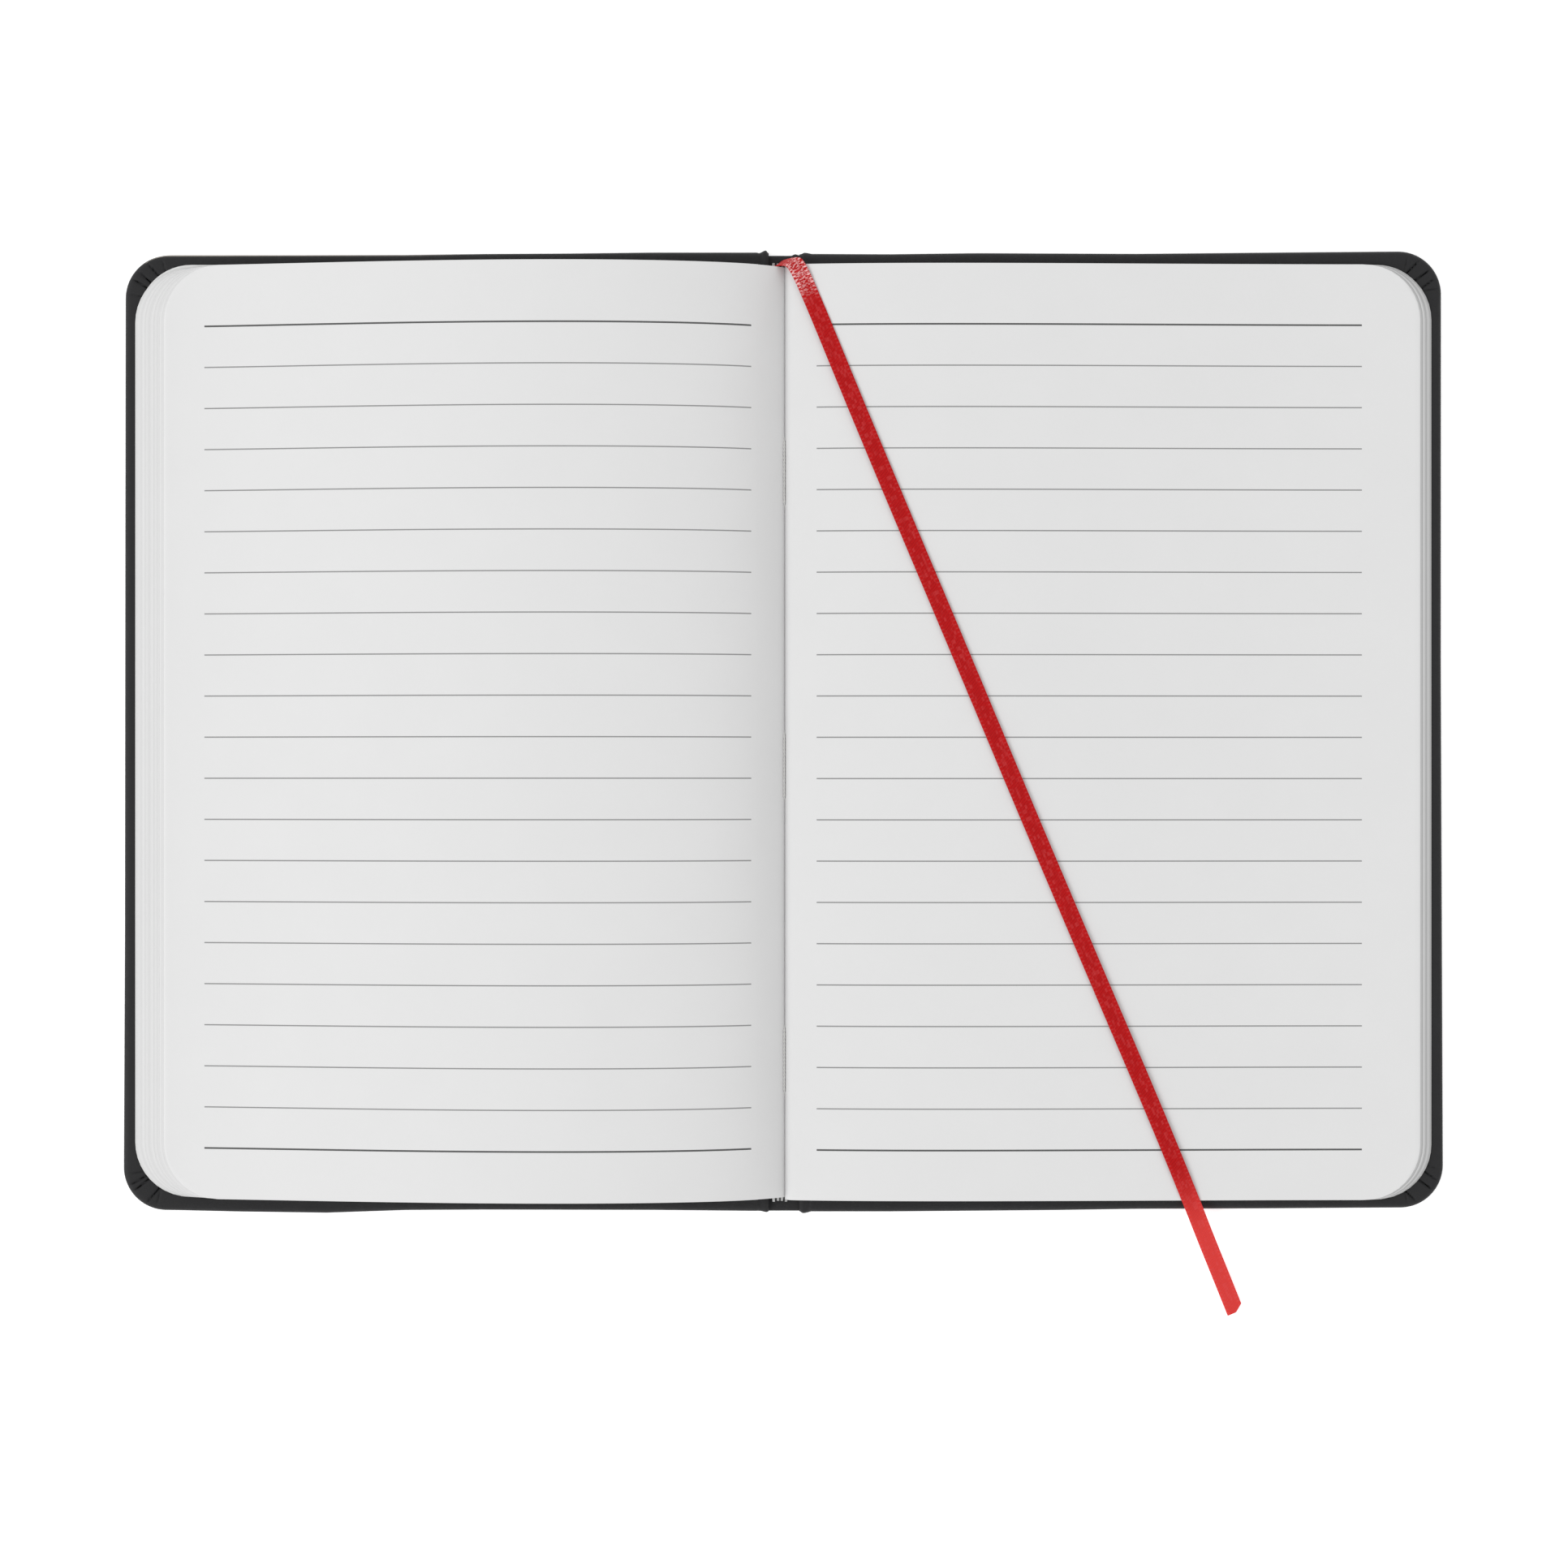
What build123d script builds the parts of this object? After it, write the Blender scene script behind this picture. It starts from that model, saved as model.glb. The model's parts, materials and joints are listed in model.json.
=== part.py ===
"""Pocket notebook lying open: a sewn block of ruled leaves in a hard case with a soft skin.

Frame: the origin is under the middle of the open case, on the surface that it lies on.
+X runs from the front cover to the back cover, +Y to the head of the pages, +Z up.
"""

from build123d import *

import math
import os
from dataclasses import dataclass

# Case
COVER_HEIGHT = 144.0
COVER_REACH = 99.1  # middle of the spine to a cover's fore-edge
CORNER_RADIUS = 6.5
SKIN = 0.3
BOARD = 1.35
EDGE_ROUND = 0.6
TURN_IN = 14.0
HINGE_X = 3.05
HINGE_Z = 1.0
HINGE_TO_COVER = 0.25
CASE_THICKNESS = SKIN + BOARD + SKIN

# Endpapers
PASTEDOWN = 0.1
PASTEDOWN_INSET = 1.8
PASTEDOWN_RADIUS = 8.0
ENDPAPER_LEVELS = (-1.3, -0.15)  # the free endpaper, counted in leaves below the first one

# Spine
SPINE_HALF_WIDTH = 2.85
SPINE_HALF_LENGTH = 71.6
STRIP_HALF_WIDTH = 2.4
STRIP = 0.5
STRIP_FLAP = 0.2
LINING = 0.1
LINING_GAP = 0.02
LINING_INSET = 0.2  # keeps the layers clear of the endpapers when the case closes

# Block
PAGE_HEIGHT = 140.0
LEAF = 0.09
LEAF_GAP = 0.15  # share of a leaf left open under each leaf or signature
GUTTER_X = 0.45
BLOCK_BACK = 2.1
FIRST_LEAF_HEIGHT = 2.23
SIGNATURE_LEAVES = 8
PROFILE_STEPS = 26
PROFILE_CROWDING = 1.6  # above 1, the profile's points crowd towards the fold
FOLD_STRIP = 4.0  # how far the fold holds the innermost left leaf before it can turn

# Sewing, in the fold of the open signature
STITCH_LENGTH = 10.8
STITCH_RADIUS = 0.2
STITCH_PITCH = 44.2
STITCH_MIDDLE = -5.3
STITCH_AT = (0.55, 2.86)

# Ribbon: the points of its middle line, from the back of the block at the head to its free end
RIBBON_WIDTH = 2.6
RIBBON_THICKNESS = 0.2
RIBBON_ROUTE = (
    (1.81, 69.63, 1.72),
    (1.15, 71.20, 1.80),
    (1.11, 71.29, 3.90),
    (1.77, 69.72, 4.40),
    (3.01, 66.77, 4.34),
    (5.42, 61.06, 4.86),
    (10.07, 50.00, 5.46),
    (17.40, 32.50, 5.90),
    (26.75, 10.40, 6.02),
    (36.80, -13.60, 5.76),
    (46.90, -37.50, 5.32),
    (55.45, -57.80, 4.92),
    (60.70, -70.25, 4.60),
    (63.20, -76.25, 3.20),
    (65.55, -81.80, 1.30),
    (68.05, -87.80, 0.35),
)


@dataclass(frozen=True)
class PageSide:
    """One half of the open block. A level counts leaves up from the cover, 0 to the number of leaves."""

    direction: int  # -1 to the left, 1 to the right
    leaves: int
    outer_reach: float  # fore-edge of the lowest leaf
    inner_reach: float  # fore-edge of the leaf on top
    arch: float  # how far the top leaf arches clear of a flat stack
    arch_growth: float
    peak: float  # where the arch is highest, as a share of the leaf's span
    foot: float  # how far from its fold a leaf takes to reach the height it lies at
    rise_power: float = 0.8

    def root(self, level):
        """X of the level's fold."""
        return GUTTER_X + self.direction * (self.leaves - level) * LEAF

    def reach(self, level):
        """Distance of the level's fore-edge from the middle of the spine."""
        fan = self.outer_reach - self.inner_reach
        return self.outer_reach - fan * level / self.leaves

    def span(self, level):
        """Distance from the level's fold to its fore-edge, seen from above."""
        return self.reach(level) - self.direction * self.root(level)

    def arch_share(self, share):
        """Height of the arch at a share of the span, 1 at its peak."""
        fall_power = self.rise_power * (1 - self.peak) / self.peak
        top = self.peak**self.rise_power * (1 - self.peak) ** fall_power
        return share**self.rise_power * (1 - share) ** fall_power / top

    def lift(self, level):
        """How far a leaf whose upper face is at this level arches clear of a flat stack."""
        return self.arch * (max(level, 0) / self.leaves) ** self.arch_growth

    def point(self, level, out, lift):
        """The level's point at the distance out from its fold, as (X, Z)."""
        lies_at = FIRST_LEAF_HEIGHT + level * LEAF
        climb = (lies_at - BLOCK_BACK) * (1 - math.exp(-out / self.foot))
        height = BLOCK_BACK + climb + lift * self.arch_share(min(out / self.span(level), 1))
        return self.root(level) + self.direction * out, height

    def curve(self, level, lift, start, end):
        """Points of the level from one distance to another, crowded towards the fold."""
        shares = [(i / PROFILE_STEPS) ** PROFILE_CROWDING for i in range(PROFILE_STEPS + 1)]
        return [self.point(level, start + (end - start) * share, lift) for share in shares]


LEFT = PageSide(-1, 28, 97.8, 92.8, arch=8.85, arch_growth=1.7, peak=0.364, foot=4.0)
RIGHT = PageSide(1, 12, 97.5, 95.7, arch=2.3, arch_growth=1.2, peak=0.26, foot=3.0)
OPEN_LEAVES = 4  # leaves of the open signature on each side


def panel(side, inner, outer, half_height, radius, low, high):
    """A plate from the spine to the fore-edge, with its two fore-edge corners rounded."""
    plan = Pos((inner + outer) / 2, 0) * Rectangle(outer - inner, 2 * half_height)
    plan = fillet(plan.vertices().sort_by(Axis.X)[-2:], radius)
    plate = Pos(0, 0, low) * extrude(plan, high - low)
    return plate if side > 0 else mirror(plate, Plane.YZ)


def cover_skin(side):
    """The skin around a board: outside face, edges, and the turn-ins on the inside."""
    inner = HINGE_X + HINGE_TO_COVER
    half = COVER_HEIGHT / 2
    outside = panel(1, inner, COVER_REACH, half, CORNER_RADIUS, 0, CASE_THICKNESS)
    flat_edges = outside.edges().filter_by(Plane.XY)
    outside = fillet(flat_edges, EDGE_ROUND)
    hollow = cover_board(1)
    window = turn_in_window(SKIN + BOARD, CASE_THICKNESS)
    skin = outside - hollow - window
    return skin if side > 0 else mirror(skin, Plane.YZ)


def cover_board(side):
    """The stiff board inside a cover."""
    inner = HINGE_X + HINGE_TO_COVER + SKIN
    half = COVER_HEIGHT / 2 - SKIN
    return panel(side, inner, COVER_REACH - SKIN, half, CORNER_RADIUS - SKIN, SKIN, SKIN + BOARD)


def turn_in_window(low, high):
    """The part of a cover's inside that the turn-ins leave open."""
    inner = HINGE_X + HINGE_TO_COVER + TURN_IN
    half = COVER_HEIGHT / 2 - TURN_IN
    width = COVER_REACH - TURN_IN - inner
    return Pos(inner + width / 2, 0, (low + high) / 2) * Box(width, 2 * half, high - low)


def pastedown(side):
    """The endpaper glued inside a cover: it sinks onto the board between the turn-ins."""
    inner = HINGE_X + HINGE_TO_COVER + EDGE_ROUND
    half = COVER_HEIGHT / 2 - PASTEDOWN_INSET
    outer = COVER_REACH - PASTEDOWN_INSET
    sheet = panel(1, inner, outer, half, PASTEDOWN_RADIUS, CASE_THICKNESS, CASE_THICKNESS + PASTEDOWN)
    sheet += turn_in_window(SKIN + BOARD, CASE_THICKNESS)
    return sheet if side > 0 else mirror(sheet, Plane.YZ)


def slab(half_width, half_length, low, high):
    """A flat bar along the spine."""
    return Pos(0, 0, (low + high) / 2) * Box(2 * half_width, 2 * half_length, high - low)


def spine_skin():
    """The skin under the spine strip, turned over the strip's ends at head and tail."""
    strip_top = SKIN + STRIP
    skin = slab(SPINE_HALF_WIDTH, SPINE_HALF_LENGTH, 0, strip_top + STRIP_FLAP)
    skin -= slab(SPINE_HALF_WIDTH, SPINE_HALF_LENGTH - TURN_IN, strip_top, strip_top + STRIP_FLAP)
    sides = slab(SPINE_HALF_WIDTH, SPINE_HALF_LENGTH, SKIN, strip_top + STRIP_FLAP)
    sides -= slab(STRIP_HALF_WIDTH, SPINE_HALF_LENGTH, SKIN, strip_top + STRIP_FLAP)
    return skin - sides - spine_strip()


def spine_strip():
    """The card that stiffens the spine."""
    return slab(STRIP_HALF_WIDTH, SPINE_HALF_LENGTH - SKIN, SKIN, SKIN + STRIP)


def back_layer(layer):
    """A layer glued across the back of the block: 0 is the gauze, 1 the paper lining under it."""
    low_x, high_x = LEFT.root(0) + LINING_INSET, RIGHT.root(0) - LINING_INSET
    top = BLOCK_BACK - LINING_GAP - layer * (LINING + LINING_GAP)
    strip = Box(high_x - low_x, PAGE_HEIGHT - 2 * (1 + layer), LINING)
    return Pos((low_x + high_x) / 2, 0, top - LINING / 2) * strip


def paper(side, low_level, high_level, start=0.0, end=None):
    """The leaves of one side between two levels, as one solid, with round fore-edge corners."""
    low_end = side.span(low_level) if end is None else end
    high_end = side.span(high_level) if end is None else end
    lift = side.lift(high_level)
    outline = side.curve(low_level, lift, start, low_end)
    outline += side.curve(high_level, lift, start, high_end)[::-1]
    face = make_face(Polyline([(x, 0, z) for x, z in outline], close=True))
    solid = extrude(face, PAGE_HEIGHT / 2, both=True, dir=(0, 1, 0))
    if end is None:
        limit = panel(side.direction, -COVER_REACH, side.reach(low_level), PAGE_HEIGHT / 2, CORNER_RADIUS, 0, 20)
        solid = solid & limit
    return solid


def stitches():
    """The three stitches that show in the fold of the open signature."""
    x, z = STITCH_AT
    along = Rot(90, 0, 0) * Cylinder(STITCH_RADIUS, STITCH_LENGTH)
    return Compound([Pos(x, STITCH_MIDDLE + i * STITCH_PITCH, z) * along for i in (-1, 0, 1)])


def ribbon():
    """The ribbon marker: straight runs joined by arcs as large as the runs allow."""
    points = [Vector(*point) for point in RIBBON_ROUTE]
    radii = []
    for before, at, after in zip(points, points[1:], points[2:]):
        turn = (at - before).get_angle(after - at)
        shorter = min((at - before).length, (after - at).length)
        radii.append(0.45 * shorter / math.tan(math.radians(turn) / 2))
    path = FilletPolyline(points, radius=radii)
    start = path % 0
    across = (points[-1] - points[0]).cross(Vector(0, 0, 1))
    section = Plane(origin=path @ 0, x_dir=across, z_dir=start) * Rectangle(RIBBON_WIDTH, RIBBON_THICKNESS)
    solid = sweep(section, path=path)
    expected = RIBBON_WIDTH * RIBBON_THICKNESS * path.length
    print("ribbon radii", [round(radius, 1) for radius in radii])
    print(f"ribbon length {path.length:.1f}, volume {solid.volume:.2f}, section times length {expected:.2f}")
    return solid


def build():
    """Every piece of the notebook, by name."""
    pieces = {
        "spine_skin": spine_skin(),
        "spine_strip": spine_strip(),
        "spine_gauze": back_layer(0),
        "spine_lining": back_layer(1),
        "sewing_thread": stitches(),
        "ribbon_marker": ribbon(),
    }
    for name, direction in (("front", -1), ("back", 1)):
        pieces[f"{name}_board"] = cover_board(direction)
        pieces[f"{name}_cover_skin"] = cover_skin(direction)
        pieces[f"{name}_pastedown"] = pastedown(direction)
    pieces["front_flyleaf"] = paper(LEFT, *ENDPAPER_LEVELS)
    pieces["back_flyleaf"] = paper(RIGHT, *ENDPAPER_LEVELS)
    for number in range((LEFT.leaves - OPEN_LEAVES) // SIGNATURE_LEAVES):
        low = number * SIGNATURE_LEAVES
        pieces[f"signature_{number + 1}"] = paper(LEFT, low + LEAF_GAP, low + SIGNATURE_LEAVES)
    pieces["signature_5"] = paper(RIGHT, LEAF_GAP, SIGNATURE_LEAVES)
    for number in range(1, OPEN_LEAVES + 1):
        low = RIGHT.leaves - number
        pieces[f"right_leaf_{number}"] = paper(RIGHT, low + LEAF_GAP, low + 1)
    for number in range(2, OPEN_LEAVES + 1):
        low = LEFT.leaves - number
        pieces[f"left_leaf_{number}"] = paper(LEFT, low + LEAF_GAP, low + 1)
    top = LEFT.leaves - 1
    pieces["centre_fold"] = paper(LEFT, top + LEAF_GAP, top + 1, end=FOLD_STRIP - 0.05)
    pieces["left_leaf_1"] = paper(LEFT, top + LEAF_GAP, top + 1, start=FOLD_STRIP + 0.05)
    return pieces


if __name__ == "__main__":
    os.makedirs("parts", exist_ok=True)
    for node, shape in build().items():
        shape.label = node
        export_step(shape, f"parts/{node}.step")
    fold_x, fold_z = LEFT.point(LEFT.leaves - 0.5, FOLD_STRIP, LEFT.arch)
    print(f"turning leaf's hinge line: x {fold_x:.3f}, z {fold_z:.3f}")
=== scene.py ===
"""Pocket notebook lying open: its finished look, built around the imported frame.

Everything is in metres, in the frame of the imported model: the origin is under the middle of the
open case, +X runs from the front cover to the back cover, +Y to the head of the pages, +Z up.
"""

import json
import logging
import math
import random
from dataclasses import dataclass
from enum import Enum
from typing import Any, ClassVar, Optional, Sequence, Union

import bpy
import numpy as np
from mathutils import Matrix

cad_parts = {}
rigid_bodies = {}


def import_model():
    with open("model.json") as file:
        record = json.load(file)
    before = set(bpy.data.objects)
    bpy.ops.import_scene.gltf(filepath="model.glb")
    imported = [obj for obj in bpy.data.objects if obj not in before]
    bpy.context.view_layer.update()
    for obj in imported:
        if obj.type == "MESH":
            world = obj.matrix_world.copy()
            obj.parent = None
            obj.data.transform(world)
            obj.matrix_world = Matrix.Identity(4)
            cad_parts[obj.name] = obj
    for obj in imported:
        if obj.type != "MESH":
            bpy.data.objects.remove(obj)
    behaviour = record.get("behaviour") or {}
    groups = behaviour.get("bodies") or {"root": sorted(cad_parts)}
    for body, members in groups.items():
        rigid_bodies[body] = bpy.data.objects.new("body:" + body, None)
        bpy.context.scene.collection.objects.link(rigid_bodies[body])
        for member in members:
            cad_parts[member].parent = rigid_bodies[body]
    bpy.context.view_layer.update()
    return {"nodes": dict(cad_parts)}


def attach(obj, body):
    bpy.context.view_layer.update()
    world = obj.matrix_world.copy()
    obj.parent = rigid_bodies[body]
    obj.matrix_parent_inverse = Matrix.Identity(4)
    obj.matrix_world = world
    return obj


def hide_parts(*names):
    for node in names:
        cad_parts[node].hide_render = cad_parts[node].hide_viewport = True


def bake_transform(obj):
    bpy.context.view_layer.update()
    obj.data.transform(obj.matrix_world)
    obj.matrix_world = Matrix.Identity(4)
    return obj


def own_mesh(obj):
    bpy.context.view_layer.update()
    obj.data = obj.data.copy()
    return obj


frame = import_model()

log = logging.getLogger("notebook")
Colour = tuple[float, float, float, float]
MM = 0.001
SEED = 7
FULL_TURN = 2.0 * math.pi
SHARP = 0.6  # edges that turn more than this, in radians, stay sharp


# ---------------------------------------------------------------------------------------------
# Node trees
# ---------------------------------------------------------------------------------------------


class Term:
    """A number inside a node tree, which plain arithmetic extends with Math nodes."""

    def __init__(self, graph: "Graph", socket: bpy.types.NodeSocket) -> None:
        """Wraps one output socket.

        Args:
            graph: The tree that the socket belongs to.
            socket: The output socket that carries the number.
        """
        self.graph = graph
        self.socket = socket

    def do(self, operation: str, *others: "Value") -> "Term":
        """This number and others, through one Math node."""
        return self.graph.math(operation, self, *others)

    def __add__(self, other: "Value") -> "Term":
        """Sum."""
        return self.do("ADD", other)

    def __radd__(self, other: "Value") -> "Term":
        """Sum, with the plain number first."""
        return self.do("ADD", other)

    def __sub__(self, other: "Value") -> "Term":
        """Difference."""
        return self.do("SUBTRACT", other)

    def __rsub__(self, other: "Value") -> "Term":
        """Difference, with the plain number first."""
        return self.graph.math("SUBTRACT", other, self)

    def __mul__(self, other: "Value") -> "Term":
        """Product."""
        return self.do("MULTIPLY", other)

    def __rmul__(self, other: "Value") -> "Term":
        """Product, with the plain number first."""
        return self.do("MULTIPLY", other)

    def __truediv__(self, other: "Value") -> "Term":
        """Quotient."""
        return self.do("DIVIDE", other)

    def __rtruediv__(self, other: "Value") -> "Term":
        """Quotient, with the plain number first."""
        return self.graph.math("DIVIDE", other, self)

    def __pow__(self, other: "Value") -> "Term":
        """Power."""
        return self.do("POWER", other)

    def __neg__(self) -> "Term":
        """The number with its sign changed."""
        return self.do("MULTIPLY", -1.0)

    def low_to_high(self, low: "Value", high: "Value") -> "Term":
        """Rises smoothly from 0 at one value to 1 at another.

        Args:
            low: Where the result is 0.
            high: Where the result is 1.

        Returns:
            The smoothed share, from 0 to 1.
        """
        smooth = {"interpolation_type": "SMOOTHSTEP"}
        return self.graph.step("ShaderNodeMapRange", self, smooth, From_Min=low, From_Max=high)


Value = Union[float, Term]


class Graph:
    """Adds and links the nodes of one shader or geometry tree."""

    def __init__(self, tree: bpy.types.NodeTree) -> None:
        """Starts on a tree.

        Args:
            tree: The node tree that the nodes go into.
        """
        self.tree = tree

    def add(self, kind: str, **settings: Any) -> bpy.types.Node:
        """A new node with its settings.

        Args:
            kind: The node's type name.
            **settings: Properties of the node.

        Returns:
            The node.
        """
        node = self.tree.nodes.new(kind)
        for name, value in settings.items():
            setattr(node, name, value)
        return node

    def feed(self, node: bpy.types.Node, name: Union[str, int], value: Any) -> None:
        """Links a term or a socket to an input, or sets the input to a plain value.

        Args:
            node: The node that takes the value.
            name: The input's name or place.
            value: A Term, a socket or a plain value.
        """
        socket = node.inputs[name]
        if isinstance(value, Term):
            value = value.socket
        if isinstance(value, bpy.types.NodeSocket):
            self.tree.links.new(value, socket)
        else:
            socket.default_value = value

    def step(
        self, kind: str, first: Any = None, settings: Optional[dict[str, Any]] = None, **inputs: Any
    ) -> Term:
        """Adds a node, feeds its inputs and gives its first output.

        Args:
            kind: The node's type name.
            first: What its first input gets.
            settings: Properties of the node.
            **inputs: What its other inputs get, with _ for spaces.

        Returns:
            The node's first output.
        """
        node = self.add(kind, **(settings or {}))
        if first is not None:
            self.feed(node, 0, first)
        for label, value in inputs.items():
            self.feed(node, label.replace("_", " "), value)
        return Term(self, node.outputs[0])

    def math(self, operation: str, *values: Value) -> Term:
        """The result of one Math node on some numbers."""
        node = self.add("ShaderNodeMath", operation=operation)
        for place, value in enumerate(values):
            self.feed(node, place, value)
        return Term(self, node.outputs[0])

    def split(self, vector: Any) -> tuple[Term, Term, Term]:
        """The three parts of a vector."""
        node = self.add("ShaderNodeSeparateXYZ")
        self.feed(node, 0, vector)
        return Term(self, node.outputs[0]), Term(self, node.outputs[1]), Term(self, node.outputs[2])

    def vector(self, x: Value, y: Value, z: Value) -> Term:
        """A vector from its three parts."""
        node = self.add("ShaderNodeCombineXYZ")
        for place, value in enumerate((x, y, z)):
            self.feed(node, place, value)
        return Term(self, node.outputs[0])

    def noise(self, place: Any, size: Value, detail: float = 2.0, roughness: float = 0.5) -> Term:
        """Soft random pattern.

        Args:
            place: The coordinates that it reads.
            size: The usual size of a patch, in metres.
            detail: How many finer layers it has.
            roughness: How strong the finer layers are.

        Returns:
            The pattern, about 0.5 on average.
        """
        return self.step(
            "ShaderNodeTexNoise", Vector=place, Scale=1.0 / size, Detail=detail, Roughness=roughness
        )

    def mix(self, share: Value, first: Any, second: Any) -> Term:
        """A colour between two colours.

        Args:
            share: 0 gives the first colour, 1 the second.
            first: A colour.
            second: A colour.

        Returns:
            The mixed colour.
        """
        node = self.add("ShaderNodeMix", data_type="RGBA")
        self.feed(node, 0, share)
        self.feed(node, 6, first)
        self.feed(node, 7, second)
        return Term(self, node.outputs[2])


class Group:
    """A node group under construction, with named inputs and outputs."""

    def __init__(
        self, name: str, inputs: dict[str, str], outputs: dict[str, str], kind: str = "ShaderNodeTree"
    ) -> None:
        """Makes the group's tree and its sockets.

        Args:
            name: The group's name.
            inputs: Socket types by input name.
            outputs: Socket types by output name.
            kind: ShaderNodeTree or GeometryNodeTree.
        """
        self.tree = bpy.data.node_groups.new(name, kind)
        self.ids = {}
        for way, sockets in (("INPUT", inputs), ("OUTPUT", outputs)):
            for label, kind in sockets.items():
                made = self.tree.interface.new_socket(
                    name=label, in_out=way, socket_type=f"NodeSocket{kind}"
                )
                self.ids[label] = made.identifier
        self.graph = Graph(self.tree)
        self.entry = self.graph.add("NodeGroupInput")
        self.exit = self.graph.add("NodeGroupOutput")

    def get(self, name: str) -> Term:
        """The value of one input."""
        return Term(self.graph, self.entry.outputs[name])

    def put(self, name: str, value: Any) -> None:
        """Sends a value to one output."""
        self.graph.feed(self.exit, name, value)


class PieceGroup(Group):
    """A geometry tree that makes one piece from named numbers, counts and a material."""

    def __init__(self, name: str, numbers: Sequence[str], counts: Sequence[str]) -> None:
        """Makes the tree and its sockets.

        Args:
            name: The tree's name.
            numbers: Names of its number inputs.
            counts: Names of its whole-number inputs.
        """
        inputs = {label: "Float" for label in numbers} | {label: "Int" for label in counts}
        inputs["Material"] = "Material"
        super().__init__(name, inputs, {"Geometry": "Geometry"}, "GeometryNodeTree")

    def here(self) -> tuple[Term, Term, Term]:
        """X, Y and Z of each point, as the nodes that read it find it."""
        return self.graph.split(self.graph.step("GeometryNodeInputPosition"))

    def remember(self, geometry: Term, name: str, value: Term) -> Term:
        """The geometry with a number stored on each point."""
        kind = {"data_type": "FLOAT", "domain": "POINT"}
        return self.graph.step(
            "GeometryNodeStoreNamedAttribute", settings=kind, Geometry=geometry, Name=name, Value=value
        )

    def rod(self, line: Term, sides: Value, radius: Value) -> Term:
        """A closed round rod along a line."""
        circle = self.graph.step("GeometryNodeCurvePrimitiveCircle", Resolution=sides, Radius=radius)
        return self.graph.step("GeometryNodeCurveToMesh", Curve=line, Profile_Curve=circle, Fill_Caps=True)

    def close(self, geometry: Term) -> None:
        """Realises the geometry, gives it its material and sends it out."""
        real = self.graph.step("GeometryNodeRealizeInstances", geometry)
        dressed = self.graph.step("GeometryNodeSetMaterial", Geometry=real, Material=self.get("Material"))
        self.put("Geometry", dressed)


# ---------------------------------------------------------------------------------------------
# Shader groups: effects that several finishes share
# ---------------------------------------------------------------------------------------------


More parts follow.
